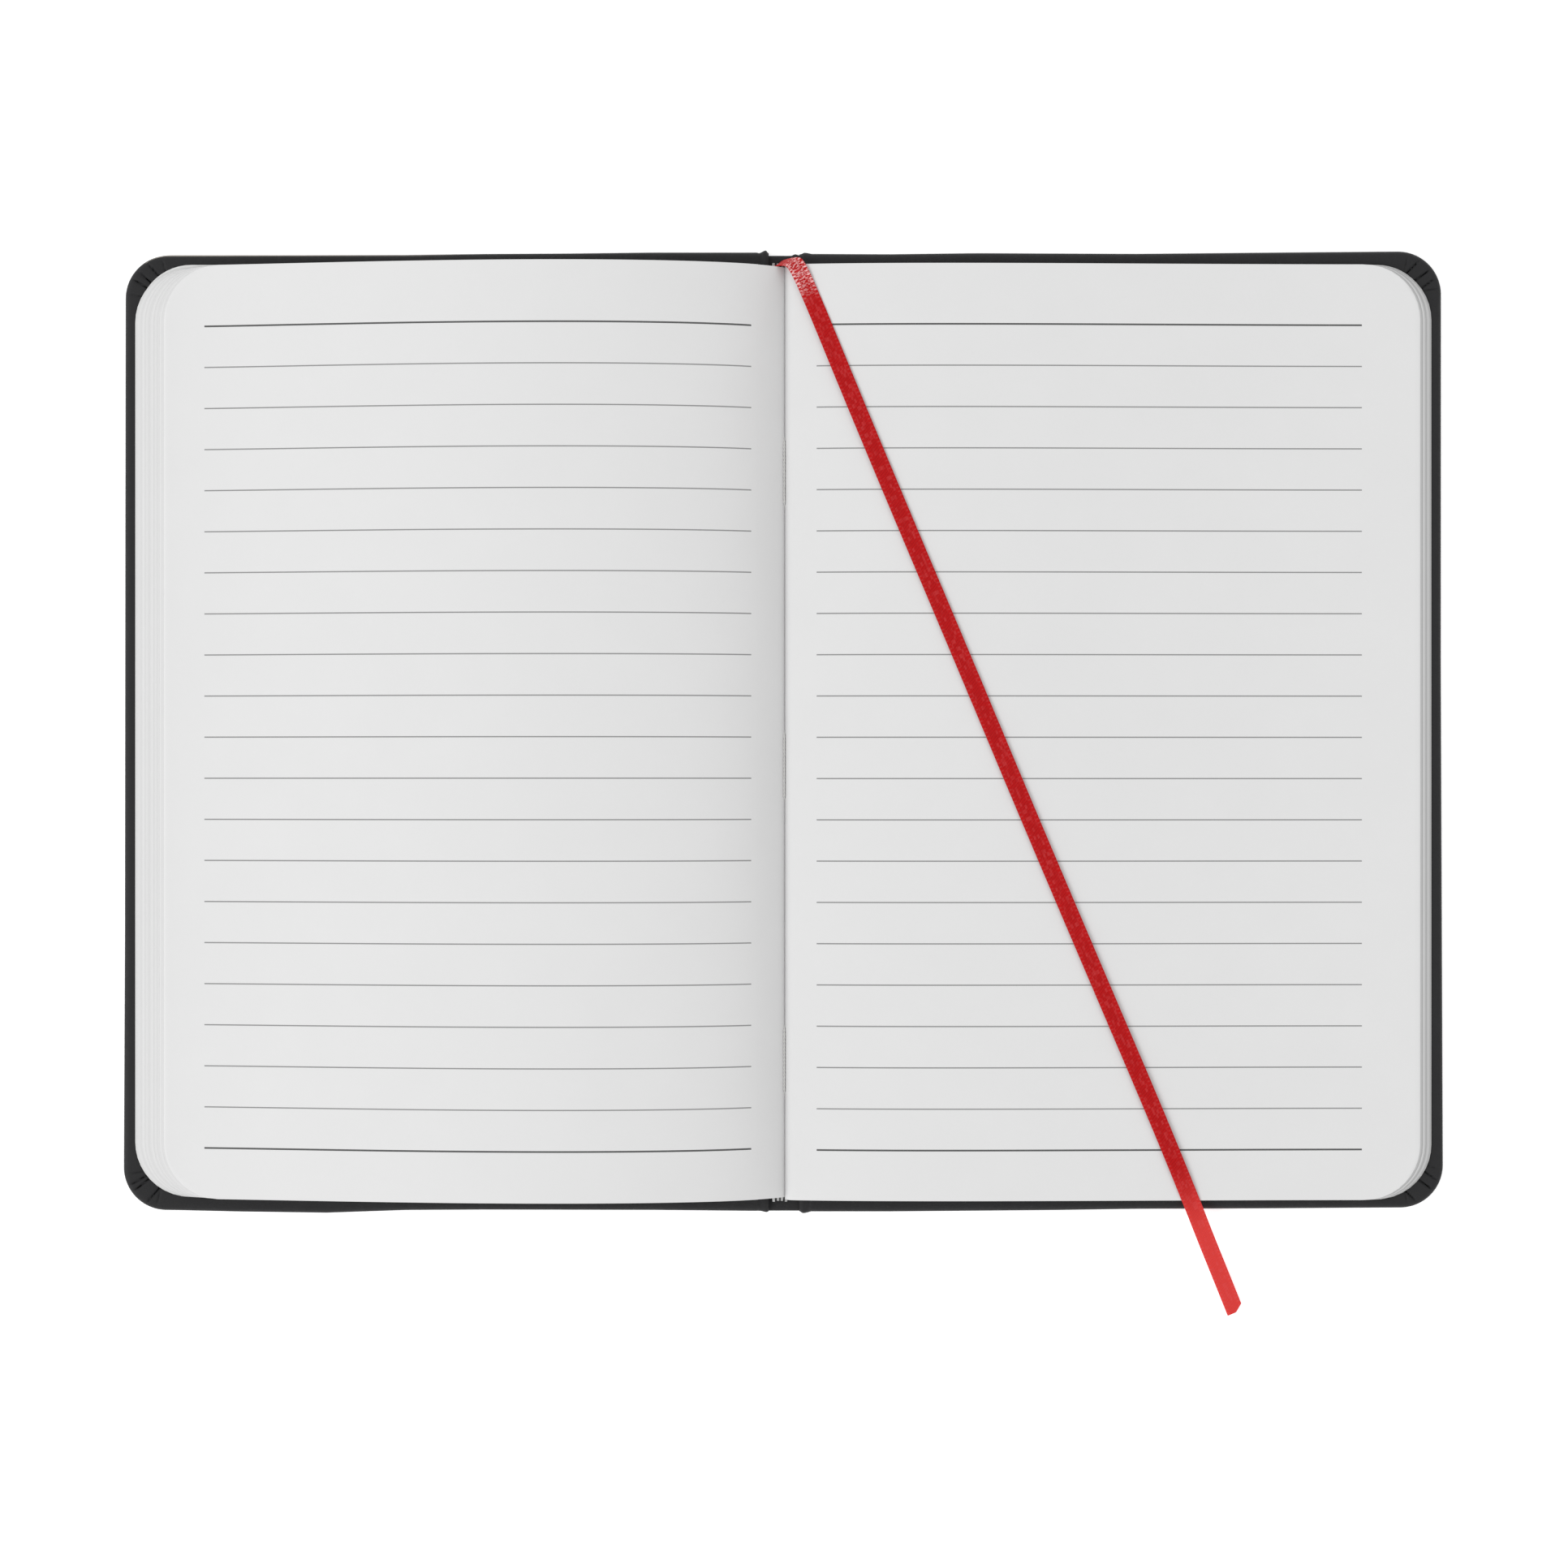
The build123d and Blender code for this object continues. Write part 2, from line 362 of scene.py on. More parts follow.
class Effects:
    """The shader node groups, each built once."""

    def __init__(self) -> None:
        """Builds the groups."""
        self.mottle = self._mottle()
        self.grain = self._grain()
        self.fibres = self._fibres()
        self.rules = self._rules()
        self.weave = self._weave()

    @staticmethod
    def _mottle() -> bpy.types.NodeTree:
        """Faint uneven tone, as in paper pulp or a worn skin."""
        group = Group(
            "Mottle",
            {"Place": "Vector", "Tone": "Color", "Amount": "Float", "Size": "Float"},
            {"Color": "Color", "Patch": "Float"},
        )
        graph = group.graph
        patch = graph.noise(group.get("Place"), group.get("Size"), 4.0, 0.62)
        level = 1.0 + (patch - 0.5) * 2.0 * group.get("Amount")
        scaled = graph.step("ShaderNodeVectorMath", group.get("Tone"), {"operation": "SCALE"}, Scale=level)
        group.put("Color", scaled)
        group.put("Patch", patch)
        return group.tree

    @staticmethod
    def _grain() -> bpy.types.NodeTree:
        """Fine pebbled grain: cells with soft valleys between them, and a finer tooth."""
        group = Group(
            "Grain", {"Place": "Vector", "Cell": "Float", "Tooth": "Float"},
            {"Height": "Float", "Valley": "Float"},
        )
        place, cell = group.get("Place"), group.get("Cell")
        valley = group.graph.step(
            "ShaderNodeTexVoronoi", settings={"feature": "SMOOTH_F1"}, Vector=place, Scale=1.0 / cell,
            Smoothness=0.6,
        )
        fine = group.graph.noise(place, cell / 3.1)
        group.put("Height", (1.0 - valley) + fine * group.get("Tooth"))
        group.put("Valley", valley)
        return group.tree

    @staticmethod
    def _fibres() -> bpy.types.NodeTree:
        """Short crossed fibres that lie in a sheet."""
        group = Group("Fibres", {"Place": "Vector", "Length": "Float"}, {"Height": "Float"})
        graph = group.graph
        x, y, z = graph.split(group.get("Place"))
        layers = [
            graph.noise(graph.vector(x * stretch_x, y * stretch_y, z), group.get("Length") / 3.0, 3.0, 0.6)
            for stretch_x, stretch_y in ((0.25, 1.0), (1.0, 0.3))
        ]
        group.put("Height", layers[0] * 0.5 + layers[1] * 0.5)
        return group.tree

    @staticmethod
    def _rules() -> bpy.types.NodeTree:
        """Printed rules across a page, the first and the last one heavier."""
        group = Group(
            "Rules",
            {
                "Place": "Vector", "First": "Float", "Pitch": "Float", "Last Number": "Float",
                "Inner": "Float", "Outer": "Float", "Thin": "Float", "Heavy": "Float",
                "Back Stretch": "Float",
            },
            {"Thin Ink": "Float", "Heavy Ink": "Float"},
        )
        graph = group.graph
        x, y, _ = graph.split(group.get("Place"))
        y = y / (1.0 + x.do("GREATER_THAN", 0.0) * group.get("Back Stretch"))
        count = (group.get("First") - y) / group.get("Pitch")
        number = count.do("ROUND").do("MAXIMUM", 0.0).do("MINIMUM", group.get("Last Number"))
        away = (count - number).do("ABSOLUTE") * group.get("Pitch")
        from_spine = x.do("ABSOLUTE")
        clear = from_spine.do("GREATER_THAN", group.get("Inner"))
        across = clear * from_spine.do("LESS_THAN", group.get("Outer"))
        middle = (number - group.get("Last Number") * 0.5).do("ABSOLUTE")
        at_end = middle.do("GREATER_THAN", group.get("Last Number") * 0.5 - 0.5)
        thin = away.do("LESS_THAN", group.get("Thin") * 0.5)
        heavy = away.do("LESS_THAN", group.get("Heavy") * 0.5)
        group.put("Thin Ink", thin * across * (1.0 - at_end))
        group.put("Heavy Ink", heavy * across * at_end)
        return group.tree

    @staticmethod
    def _weave() -> bpy.types.NodeTree:
        """Satin weave with a looped selvage, on a map of metres across and along a ribbon."""
        group = Group(
            "Weave",
            {name: "Float" for name in ("Across", "Along", "Half Width", "Thread", "Loop")},
            {name: "Float" for name in ("Height", "Loops", "Glint")},
        )
        across, along = group.get("Across"), group.get("Along")
        thread, loop = group.get("Thread"), group.get("Loop")
        warp = (across * FULL_TURN / thread).do("SINE")
        twill = ((across * 0.55 + along) * FULL_TURN / (thread * 2.2)).do("SINE")
        satin = warp * 0.45 + twill * 0.4
        from_edge = group.get("Half Width") - across.do("ABSOLUTE")
        selvage = 1.0 - from_edge.low_to_high(loop * 0.75, loop * 1.05)
        beat = (along * FULL_TURN / loop).do("SINE")
        bow = ((from_edge / loop) * math.pi * 1.1).do("SINE")
        loops = (beat * bow).do("MAXIMUM", 0.0)
        group.put("Height", satin * (1.0 - selvage) + loops * selvage * 1.6)
        group.put("Loops", loops * selvage)
        # Sparkle cells away from the looped edges, which the ribbon paints as glint highlights and makes
        # smoother
        cell_x = (across / (thread * 1.5)).do("FLOOR")
        cell_y = (along / (thread * 3.0)).do("FLOOR")
        cell = group.graph.vector(cell_x, cell_y, 0.0)
        flat = {"noise_dimensions": "2D"}
        sparkle = group.graph.step("ShaderNodeTexWhiteNoise", settings=flat, Vector=cell)
        glint = sparkle.low_to_high(0.55, 1.0)
        group.put("Glint", glint * (1.0 - selvage))
        return group.tree


# ---------------------------------------------------------------------------------------------
# Finishes
# ---------------------------------------------------------------------------------------------


class Slot(Enum):
    """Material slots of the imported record."""

    SKIN = "cover_skin"
    BOARD = "board"
    ENDPAPER = "endpaper"
    RULED = "ruled_paper"
    GAUZE = "gauze"
    LINING = "lining_paper"
    THREAD = "thread"
    RIBBON = "ribbon"


class Finish:
    """A material under construction: a Principled surface with its graph."""

    def __init__(self, name: str, effects: Effects, **constants: float) -> None:
        """Starts a material.

        Args:
            name: The material's name.
            effects: The shared shader groups.
            **constants: Values of Principled sockets, with _ for spaces.
        """
        self.effects = effects
        self.material = bpy.data.materials.new(name)
        self.material.use_nodes = True
        self.graph = Graph(self.material.node_tree)
        self.surface = next(n for n in self.material.node_tree.nodes if n.type == "BSDF_PRINCIPLED")
        for label, value in constants.items():
            self.surface.inputs[label.replace("_", " ")].default_value = value
        self.place = self.graph.add("ShaderNodeTexCoord").outputs["Object"]

    def use(self, tree: bpy.types.NodeTree, **values: Any) -> bpy.types.Node:
        """Puts a shared group in this material.

        Args:
            tree: The group's tree.
            **values: What its inputs get, with _ for spaces.

        Returns:
            The group's node.
        """
        node = self.graph.add("ShaderNodeGroup", node_tree=tree)
        for label, value in values.items():
            self.graph.feed(node, label.replace("_", " "), value)
        return node

    def out(self, node: bpy.types.Node, name: str) -> Term:
        """One output of a node, as a number."""
        return Term(self.graph, node.outputs[name])

    def stored(self, name: str) -> Term:
        """A number that the mesh stores at each point."""
        return self.out(self.graph.add("ShaderNodeAttribute", attribute_name=name), "Fac")

    def mottled(self, tone: Colour, amount: float, size: float) -> tuple[Term, Term]:
        """A faintly uneven tone, and the patches that make it so."""
        node = self.use(self.effects.mottle, Place=self.place, Tone=tone, Amount=amount, Size=size)
        return self.out(node, "Color"), self.out(node, "Patch")

    def fibrous(self, length: float) -> Term:
        """Height of short crossed fibres of some length."""
        return self.out(self.use(self.effects.fibres, Place=self.place, Length=length), "Height")

    def coat(self, colour: Any, roughness: Any = None, height: Any = None, depth: float = 0.0) -> None:
        """Feeds the surface.

        Args:
            colour: What feeds the base colour.
            roughness: What feeds the roughness.
            height: The pattern that roughens the surface, from 0 to about 1.
            depth: What a height of 1 stands for, in metres.
        """
        self.graph.feed(self.surface, "Base Color", colour)
        if roughness is not None:
            self.graph.feed(self.surface, "Roughness", roughness)
        if height is not None:
            bump = self.graph.step("ShaderNodeBump", Strength=1.0, Distance=depth, Height=height)
            self.graph.feed(self.surface, "Normal", bump)


@dataclass(frozen=True)
class Recipe:
    """What a material is made of: constants of its surface, and nodes that paint it."""

    SURFACE: ClassVar[dict[str, float]] = {}

    def make(self, name: str, effects: Effects) -> bpy.types.Material:
        """Builds the material.

        Args:
            name: The material's name.
            effects: The shared shader groups.

        Returns:
            The material.
        """
        finish = Finish(name, effects, **self.SURFACE)
        self.paint(finish)
        return finish.material

    def paint(self, finish: Finish) -> None:
        """Adds the nodes to a material under construction."""
        raise NotImplementedError


@dataclass(frozen=True)
class Ruling:
    """The printed rules of a page, in metres."""

    first: float = 60.6 * MM
    pitch: float = 6.158 * MM
    last_number: int = 20
    inner: float = 4.9 * MM
    outer: float = 86.9 * MM
    thin: float = 0.19 * MM
    heavy: float = 0.27 * MM
    back_stretch: float = 0.0064
    thin_ink: Colour = (0.30, 0.30, 0.30, 1.0)
    heavy_ink: Colour = (0.11, 0.11, 0.11, 1.0)


@dataclass(frozen=True)
class Paper(Recipe):
    """Uncoated white paper, plain or ruled, greyed by painted shade where the mesh stores it."""

    SURFACE = {"Specular_IOR_Level": 0.18, "Sheen_Weight": 0.04, "Sheen_Roughness": 0.6}
    tone: Colour = (0.775, 0.775, 0.775, 1.0)
    # Grey of the painted shade that the mesh stores
    shaded: Colour = (0.18, 0.18, 0.18, 1.0)
    mottle: float = 0.018
    patch: float = 9 * MM
    fibre: float = 0.6 * MM
    tooth: float = 0.012 * MM
    ruling: Optional[Ruling] = None

    def print_rules(self, finish: Finish, paper: Term, height: Term) -> Term:
        """Prints the rules, a little broken by the paper's fibres.

        Args:
            finish: The material under construction.
            paper: Colour of the bare paper.
            height: Height of the fibres.

        Returns:
            The colour of the printed paper.
        """
        ruling, graph = self.ruling, finish.graph
        rules = finish.use(
            finish.effects.rules, Place=finish.place, First=ruling.first, Pitch=ruling.pitch,
            Last_Number=float(ruling.last_number), Inner=ruling.inner, Outer=ruling.outer,
            Thin=ruling.thin, Heavy=ruling.heavy, Back_Stretch=ruling.back_stretch,
        )
        broken = height.low_to_high(0.18, 0.42) * 0.25 + 0.75
        colour = graph.mix(finish.out(rules, "Thin Ink") * broken, paper, ruling.thin_ink)
        return graph.mix(finish.out(rules, "Heavy Ink") * broken, colour, ruling.heavy_ink)

    def paint(self, finish: Finish) -> None:
        """Adds mottle, fibres, rules and painted shade."""
        colour, patch = finish.mottled(self.tone, self.mottle, self.patch)
        height = finish.fibrous(self.fibre)
        if self.ruling:
            colour = self.print_rules(finish, colour, height)
        # Painted shade: greys the paper by the amount that the mesh stores at each point
        colour = finish.graph.mix(finish.stored("grime"), colour, self.shaded)
        finish.coat(colour, 0.82 + patch * 0.12, height, self.tooth)


@dataclass(frozen=True)
class SoftSkin(Recipe):
    """Matte charcoal soft-touch skin with a very fine grain, rubbed a little paler at its edges."""

    SURFACE = {"Specular_IOR_Level": 0.2, "Sheen_Weight": 0.03, "Sheen_Roughness": 0.45}
    tone: Colour = (0.021, 0.021, 0.022, 1.0)
    rubbed: Colour = (0.042, 0.042, 0.044, 1.0)
    cell: float = 0.26 * MM
    depth: float = 0.018 * MM

    def paint(self, finish: Finish) -> None:
        """Adds mottle, grain and scuffed edges."""
        colour, patch = finish.mottled(self.tone, 0.16, 4 * MM)
        grain = finish.use(finish.effects.grain, Place=finish.place, Cell=self.cell, Tooth=0.35)
        scuff = finish.graph.noise(finish.place, 1.1 * MM, 4.0, 0.7).low_to_high(0.42, 0.68)
        worn = finish.stored("rub") * (scuff * 0.7 + 0.3)
        colour = finish.graph.mix(worn * 0.55, colour, self.rubbed)
        roughness = 0.5 + finish.out(grain, "Valley") * 0.12 + patch * 0.1
        finish.coat(colour, roughness, finish.out(grain, "Height"), self.depth)


@dataclass(frozen=True)
class BookBoard(Recipe):
    """Grey bookbinding board with pressed layers at its edge."""

    SURFACE = {"Specular_IOR_Level": 0.2}
    tone: Colour = (0.33, 0.31, 0.28, 1.0)
    fleck: Colour = (0.16, 0.15, 0.14, 1.0)
    layer: float = 0.22 * MM

    def paint(self, finish: Finish) -> None:
        """Adds flecks and pressed layers."""
        colour, _ = finish.mottled(self.tone, 0.2, 3 * MM)
        height = finish.fibrous(1.4 * MM)
        _, _, z = finish.graph.split(finish.place)
        layers = (z * (FULL_TURN / self.layer)).do("SINE") * 0.12
        colour = finish.graph.mix(height.low_to_high(0.60, 0.72), colour, self.fleck)
        finish.coat(colour, 0.85 + layers * 0.4, height + layers, 0.05 * MM)


@dataclass(frozen=True)
class Kraft(Recipe):
    """Brown lining paper with fine laid ribs."""

    SURFACE = {"Specular_IOR_Level": 0.25}
    tone: Colour = (0.44, 0.33, 0.21, 1.0)
    rib: float = 0.5 * MM

    def paint(self, finish: Finish) -> None:
        """Adds fibres and laid ribs."""
        colour, _ = finish.mottled(self.tone, 0.12, 2 * MM)
        height = finish.fibrous(1.0 * MM)
        _, y, _ = finish.graph.split(finish.place)
        ribs = (y * (FULL_TURN / self.rib)).do("SINE") * 0.2
        finish.coat(colour, 0.75 + height * 0.2, height + ribs, 0.02 * MM)


@dataclass(frozen=True)
class OpenGauze(Recipe):
    """Stiffened cotton gauze, glue showing dark between its threads."""

    SURFACE = {"Specular_IOR_Level": 0.3}
    thread: Colour = (0.70, 0.68, 0.62, 1.0)
    between: Colour = (0.36, 0.32, 0.25, 1.0)
    pitch: float = 0.7 * MM

    def paint(self, finish: Finish) -> None:
        """Adds threads that cross."""
        x, y, _ = finish.graph.split(finish.place)
        turn = FULL_TURN / self.pitch
        threads = (x * turn).do("COSINE").do("MAXIMUM", (y * turn).do("COSINE"))
        covered = threads.low_to_high(0.35, 0.75)
        colour, _ = finish.mottled(self.thread, 0.1, 1 * MM)
        colour = finish.graph.mix(covered, self.between, colour)
        finish.coat(colour, 0.6 + covered * 0.3, covered, 0.08 * MM)


@dataclass(frozen=True)
class CottonThread(Recipe):
    """White waxed sewing thread, with fine fibres along its twist."""

    SURFACE = {"Specular_IOR_Level": 0.35, "Sheen_Weight": 0.25}
    tone: Colour = (0.74, 0.735, 0.72, 1.0)

    def paint(self, finish: Finish) -> None:
        """Adds fibres."""
        colour, _ = finish.mottled(self.tone, 0.12, 0.4 * MM)
        height = finish.fibrous(0.25 * MM)
        finish.coat(colour, 0.55 + height * 0.3, height, 0.03 * MM)


@dataclass(frozen=True)
class Satin(Recipe):
    """Red satin ribbon: a fine weave between two looped edges that carry a faint painted highlight, with
    strong painted highlights where it bends.
    """

    SURFACE = {"Specular_IOR_Level": 0.08}
    tone: Colour = (0.49, 0.007, 0.008, 1.0)
    # Painted shade: colour of the weave's hollows
    deep: Colour = (0.27, 0.002, 0.003, 1.0)
    # Painted highlight: colour of the sparkle glints
    painted_glint: Colour = (0.78, 0.10, 0.105, 1.0)
    # Painted highlight: colour of the shine at the bend and on the edge loops
    shine: Colour = (1.0, 0.6, 0.6, 1.0)
    # Painted light: colour that makes the free end lighter
    painted_light_end: Colour = (0.8, 0.062, 0.055, 1.0)
    half_width: float = 1.3 * MM
    thread: float = 0.2 * MM
    loop: float = 0.62 * MM
    bend_starts: tuple[float, float] = (2.2 * MM, 3.4 * MM)
    bend_ends: tuple[float, float] = (6.5 * MM, 10.5 * MM)
    free_end: tuple[float, float] = (150 * MM, 163 * MM)

    def paint(self, finish: Finish) -> None:
        """Adds weave, looped edges, painted shade in the weave's hollows, painted glints, the painted
        highlights of the bend and the painted light that makes the free end lighter.
        """
        graph = finish.graph
        woven = graph.step("ShaderNodeUVMap", settings={"uv_map": "weave"})
        across, along, _ = graph.split(woven)
        weave = finish.use(
            finish.effects.weave, Across=across, Along=along, Half_Width=self.half_width,
            Thread=self.thread, Loop=self.loop,
        )
        colour, _ = finish.mottled(self.tone, 0.14, 1.2 * MM)
        # Where the ribbon bends over the head, which gets painted highlights
        bent = along.low_to_high(*self.bend_starts) * (1.0 - along.low_to_high(*self.bend_ends))
        highlight_streaks = graph.noise(graph.vector(across * 1.4, along * 3.4, 0.0), 0.9 * MM, 3.0, 0.75)
        height = finish.out(weave, "Height")
        loops, glint = finish.out(weave, "Loops"), finish.out(weave, "Glint")
        layers = (
            # painted shade in the weave's hollows
            (height.low_to_high(0.1, -0.8) * 0.6, self.deep),
            # painted light on the free end
            (along.low_to_high(*self.free_end) * 0.8, self.painted_light_end),
            # painted glint highlights
            (glint * 0.22, self.painted_glint),
            # painted highlights: streaks at the bend, and the edge loops, faintly all along and strongly at
            # the bend
            (highlight_streaks.low_to_high(0.50, 0.56) * bent * 0.6, self.shine),
            (loops * (0.05 + bent * 0.9), self.shine),
        )
        for share, layer in layers:
            colour = graph.mix(share, colour, layer)
        finish.coat(colour, 0.5 - glint * 0.2, height, 0.03 * MM)


@dataclass(frozen=True)
class Tabletop(Recipe):
    """Plain pale table that glows a little, so that shadows on it stay faint."""

    SURFACE = {"Roughness": 0.9, "Specular_IOR_Level": 0.1, "Emission_Strength": 0.5}
    tone: Colour = (0.93, 0.93, 0.93, 1.0)
    glow: Colour = (1.0, 1.0, 1.0, 1.0)

    def paint(self, finish: Finish) -> None:
        """Adds a faint mottle and the glow."""
        finish.surface.inputs["Emission Color"].default_value = self.glow
        colour, _ = finish.mottled(self.tone, 0.004, 0.12)
        finish.coat(colour)


class Finishes:
    """Every material of the notebook, by slot."""

    def __init__(self) -> None:
        """Builds the materials."""
        effects = Effects()
        makers = {
            Slot.SKIN: SoftSkin(),
            Slot.BOARD: BookBoard(),
            Slot.ENDPAPER: Paper(tone=(0.75, 0.75, 0.745, 1.0)),
            Slot.RULED: Paper(ruling=Ruling()),
            Slot.GAUZE: OpenGauze(),
            Slot.LINING: Kraft(),
            Slot.THREAD: CottonThread(),
            Slot.RIBBON: Satin(),
        }
        self.of = {slot: maker.make(slot.value, effects) for slot, maker in makers.items()}
        self.table = Tabletop().make("tabletop", effects)


# ---------------------------------------------------------------------------------------------
# Mesh helpers
# ---------------------------------------------------------------------------------------------


def new_object(name: str, data: Any) -> bpy.types.Object:
    """A new object at the origin, in the scene.

    Args:
        name: The object's name.
        data: Its mesh or curve.

    Returns:
        The object.
    """
    made = bpy.data.objects.new(name, data)
    bpy.context.scene.collection.objects.link(made)
    return made


def mesh_piece(
    name: str, points: np.ndarray, faces: Sequence[Sequence[int]], material: bpy.types.Material,
    sharp_angle: float = SHARP,
) -> bpy.types.Object:
    """A piece from points and faces, smooth but for its sharp edges.

    Args:
        name: The piece's name.
        points: One row of X, Y, Z for each point.
        faces: Point numbers of each face, counted so that the face points outwards.
        material: What the piece is made of.
        sharp_angle: Edges that turn more than this, in radians, stay sharp.

    Returns:
        The piece.
    """
    mesh = bpy.data.meshes.new(name)
    mesh.from_pydata([tuple(map(float, p)) for p in points], [], [tuple(map(int, f)) for f in faces])
    mesh.validate()
    mesh.shade_smooth()
    mesh.set_sharp_from_angle(angle=sharp_angle)
    mesh.materials.append(material)
    mesh.update()
    return new_object(name, mesh)


def store(piece: bpy.types.Object, name: str, values: np.ndarray) -> None:
    """Stores one number for each point of a piece's mesh."""
    attribute = piece.data.attributes.new(name, "FLOAT", "POINT")
    attribute.data.foreach_set("value", values.astype(np.float32))


def tube_faces(rings: int, size: int) -> list[tuple[int, int, int, int]]:
    """Faces between rings of points.

    Args:
        rings: How many rings there are.
        size: Points in each ring, which closes on itself.

    Returns:
        Four point numbers for each face.
    """
    faces = []
    for start in range(0, (rings - 1) * size, size):
        for i in range(size):
            j = (i + 1) % size
            faces.append((start + i, start + j, start + size + j, start + size + i))
    return faces


def plain_mesh(piece: bpy.types.Object) -> bpy.types.Object:
    """Turns what a piece's modifiers give into its own plain mesh.

    Args:
        piece: The piece, with its modifiers.

    Returns:
        The same piece, with the mesh and no modifiers.
    """
    evaluated = piece.evaluated_get(bpy.context.evaluated_depsgraph_get())
    mesh = bpy.data.meshes.new_from_object(evaluated)
    piece.modifiers.clear()
    piece.data = mesh
    mesh.name = piece.name
    return piece


def grown(name: str, group: Group, values: dict[str, Any]) -> bpy.types.Object:
    """A piece that a geometry tree makes from its named inputs.

    Args:
        name: The piece's name.
        group: The tree.
        values: What its inputs get.

    Returns:
        The piece as a plain mesh.
    """
    piece = new_object(name, bpy.data.meshes.new(name))
    modifier = piece.modifiers.new(name, "NODES")
    modifier.node_group = group.tree
    for label, value in values.items():
        modifier[group.ids[label]] = value
    return plain_mesh(piece)


def dress(piece: bpy.types.Object, body: str, slot: Slot, *nodes: str) -> bpy.types.Object:
    """Ties a finished piece to its body and hides the nodes that it stands for.

    Args:
        piece: The finished piece.
        body: The body that it rides on.
        slot: Its material slot; not used.
        *nodes: CAD nodes that it replaces.

    Returns:
        The piece.
    """
    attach(piece, body)
    if nodes:
        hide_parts(*nodes)
    log.info("%s: %d faces on %s", piece.name, len(piece.data.polygons), body)
    return piece


# ---------------------------------------------------------------------------------------------
# Page shape
# ---------------------------------------------------------------------------------------------


@dataclass(frozen=True)
class PageSide:
    """One half of the open block. A level counts leaves up from the cover."""

    direction: int
    leaves: int
    outer_reach: float
    inner_reach: float
    arch: float
    arch_growth: float
    peak: float
    foot: float
    hinge: str
    # How strongly painted shade greys the leaf margins: more on the right, whose fore-edge faces away from
    # the lamp
    grime: float
    root_pitch: float
    rise: float = 0.8
    gutter: float = 0.12 * MM
    packed_gutter: float = 0.45 * MM
    closed_gutter: float = 0.29 * MM
    leaf: float = 0.09 * MM
    back: float = 2.1 * MM
    first_height: float = 2.23 * MM
    half_height: float = 69.98 * MM
    shift: float = -0.21 * MM
    corner: float = 8.3 * MM

    def root(self, level: float) -> float:
        """X of the level's fold."""
        return self.gutter + self.direction * (self.leaves - level) * self.root_pitch

    def axis(self, level: float) -> float:
        """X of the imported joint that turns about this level's fold."""
        return self.packed_gutter + self.direction * (self.leaves - level) * self.leaf

    def closed(self, level: float) -> float:
        """X of the level in the closed notebook."""
        return self.closed_gutter + self.direction * (self.leaves - level) * self.root_pitch

    def lift(self, level: float) -> float:
        """How far a leaf whose upper face is at this level arches clear of a flat stack."""
        return self.arch * (max(level, 0.0) / self.leaves) ** self.arch_growth

    @property
    def fall(self) -> float:
        """Power of the arch's far slope."""
        return self.rise * (1.0 - self.peak) / self.peak

    @property
    def top(self) -> float:
        """Height of the arch's formula at its peak."""
        return self.peak**self.rise * (1.0 - self.peak) ** self.fall


LEFT = PageSide(
    -1, 28, 97.6 * MM, 92.8 * MM, arch=8.85 * MM, arch_growth=1.7, peak=0.364, foot=4.0 * MM,
    hinge="front_cover_hinge", grime=0.14, root_pitch=0.078 * MM,
)
RIGHT = PageSide(
    1, 12, 97.4 * MM, 95.5 * MM, arch=2.3 * MM, arch_growth=1.2, peak=0.26, foot=0.3 * MM,
    hinge="back_cover_hinge", half_height=70.38 * MM, grime=0.5, root_pitch=0.117 * MM,
)


@dataclass(frozen=True)
class LeafSpan:
    """Which leaf, and how much of it, a sheet is."""

    name: str
    node: str
    body: str
    level: float
    axis_level: float
    low: float = 0.15
    start: float = 0.0
    finish: float = 0.0
    slot: Slot = Slot.RULED


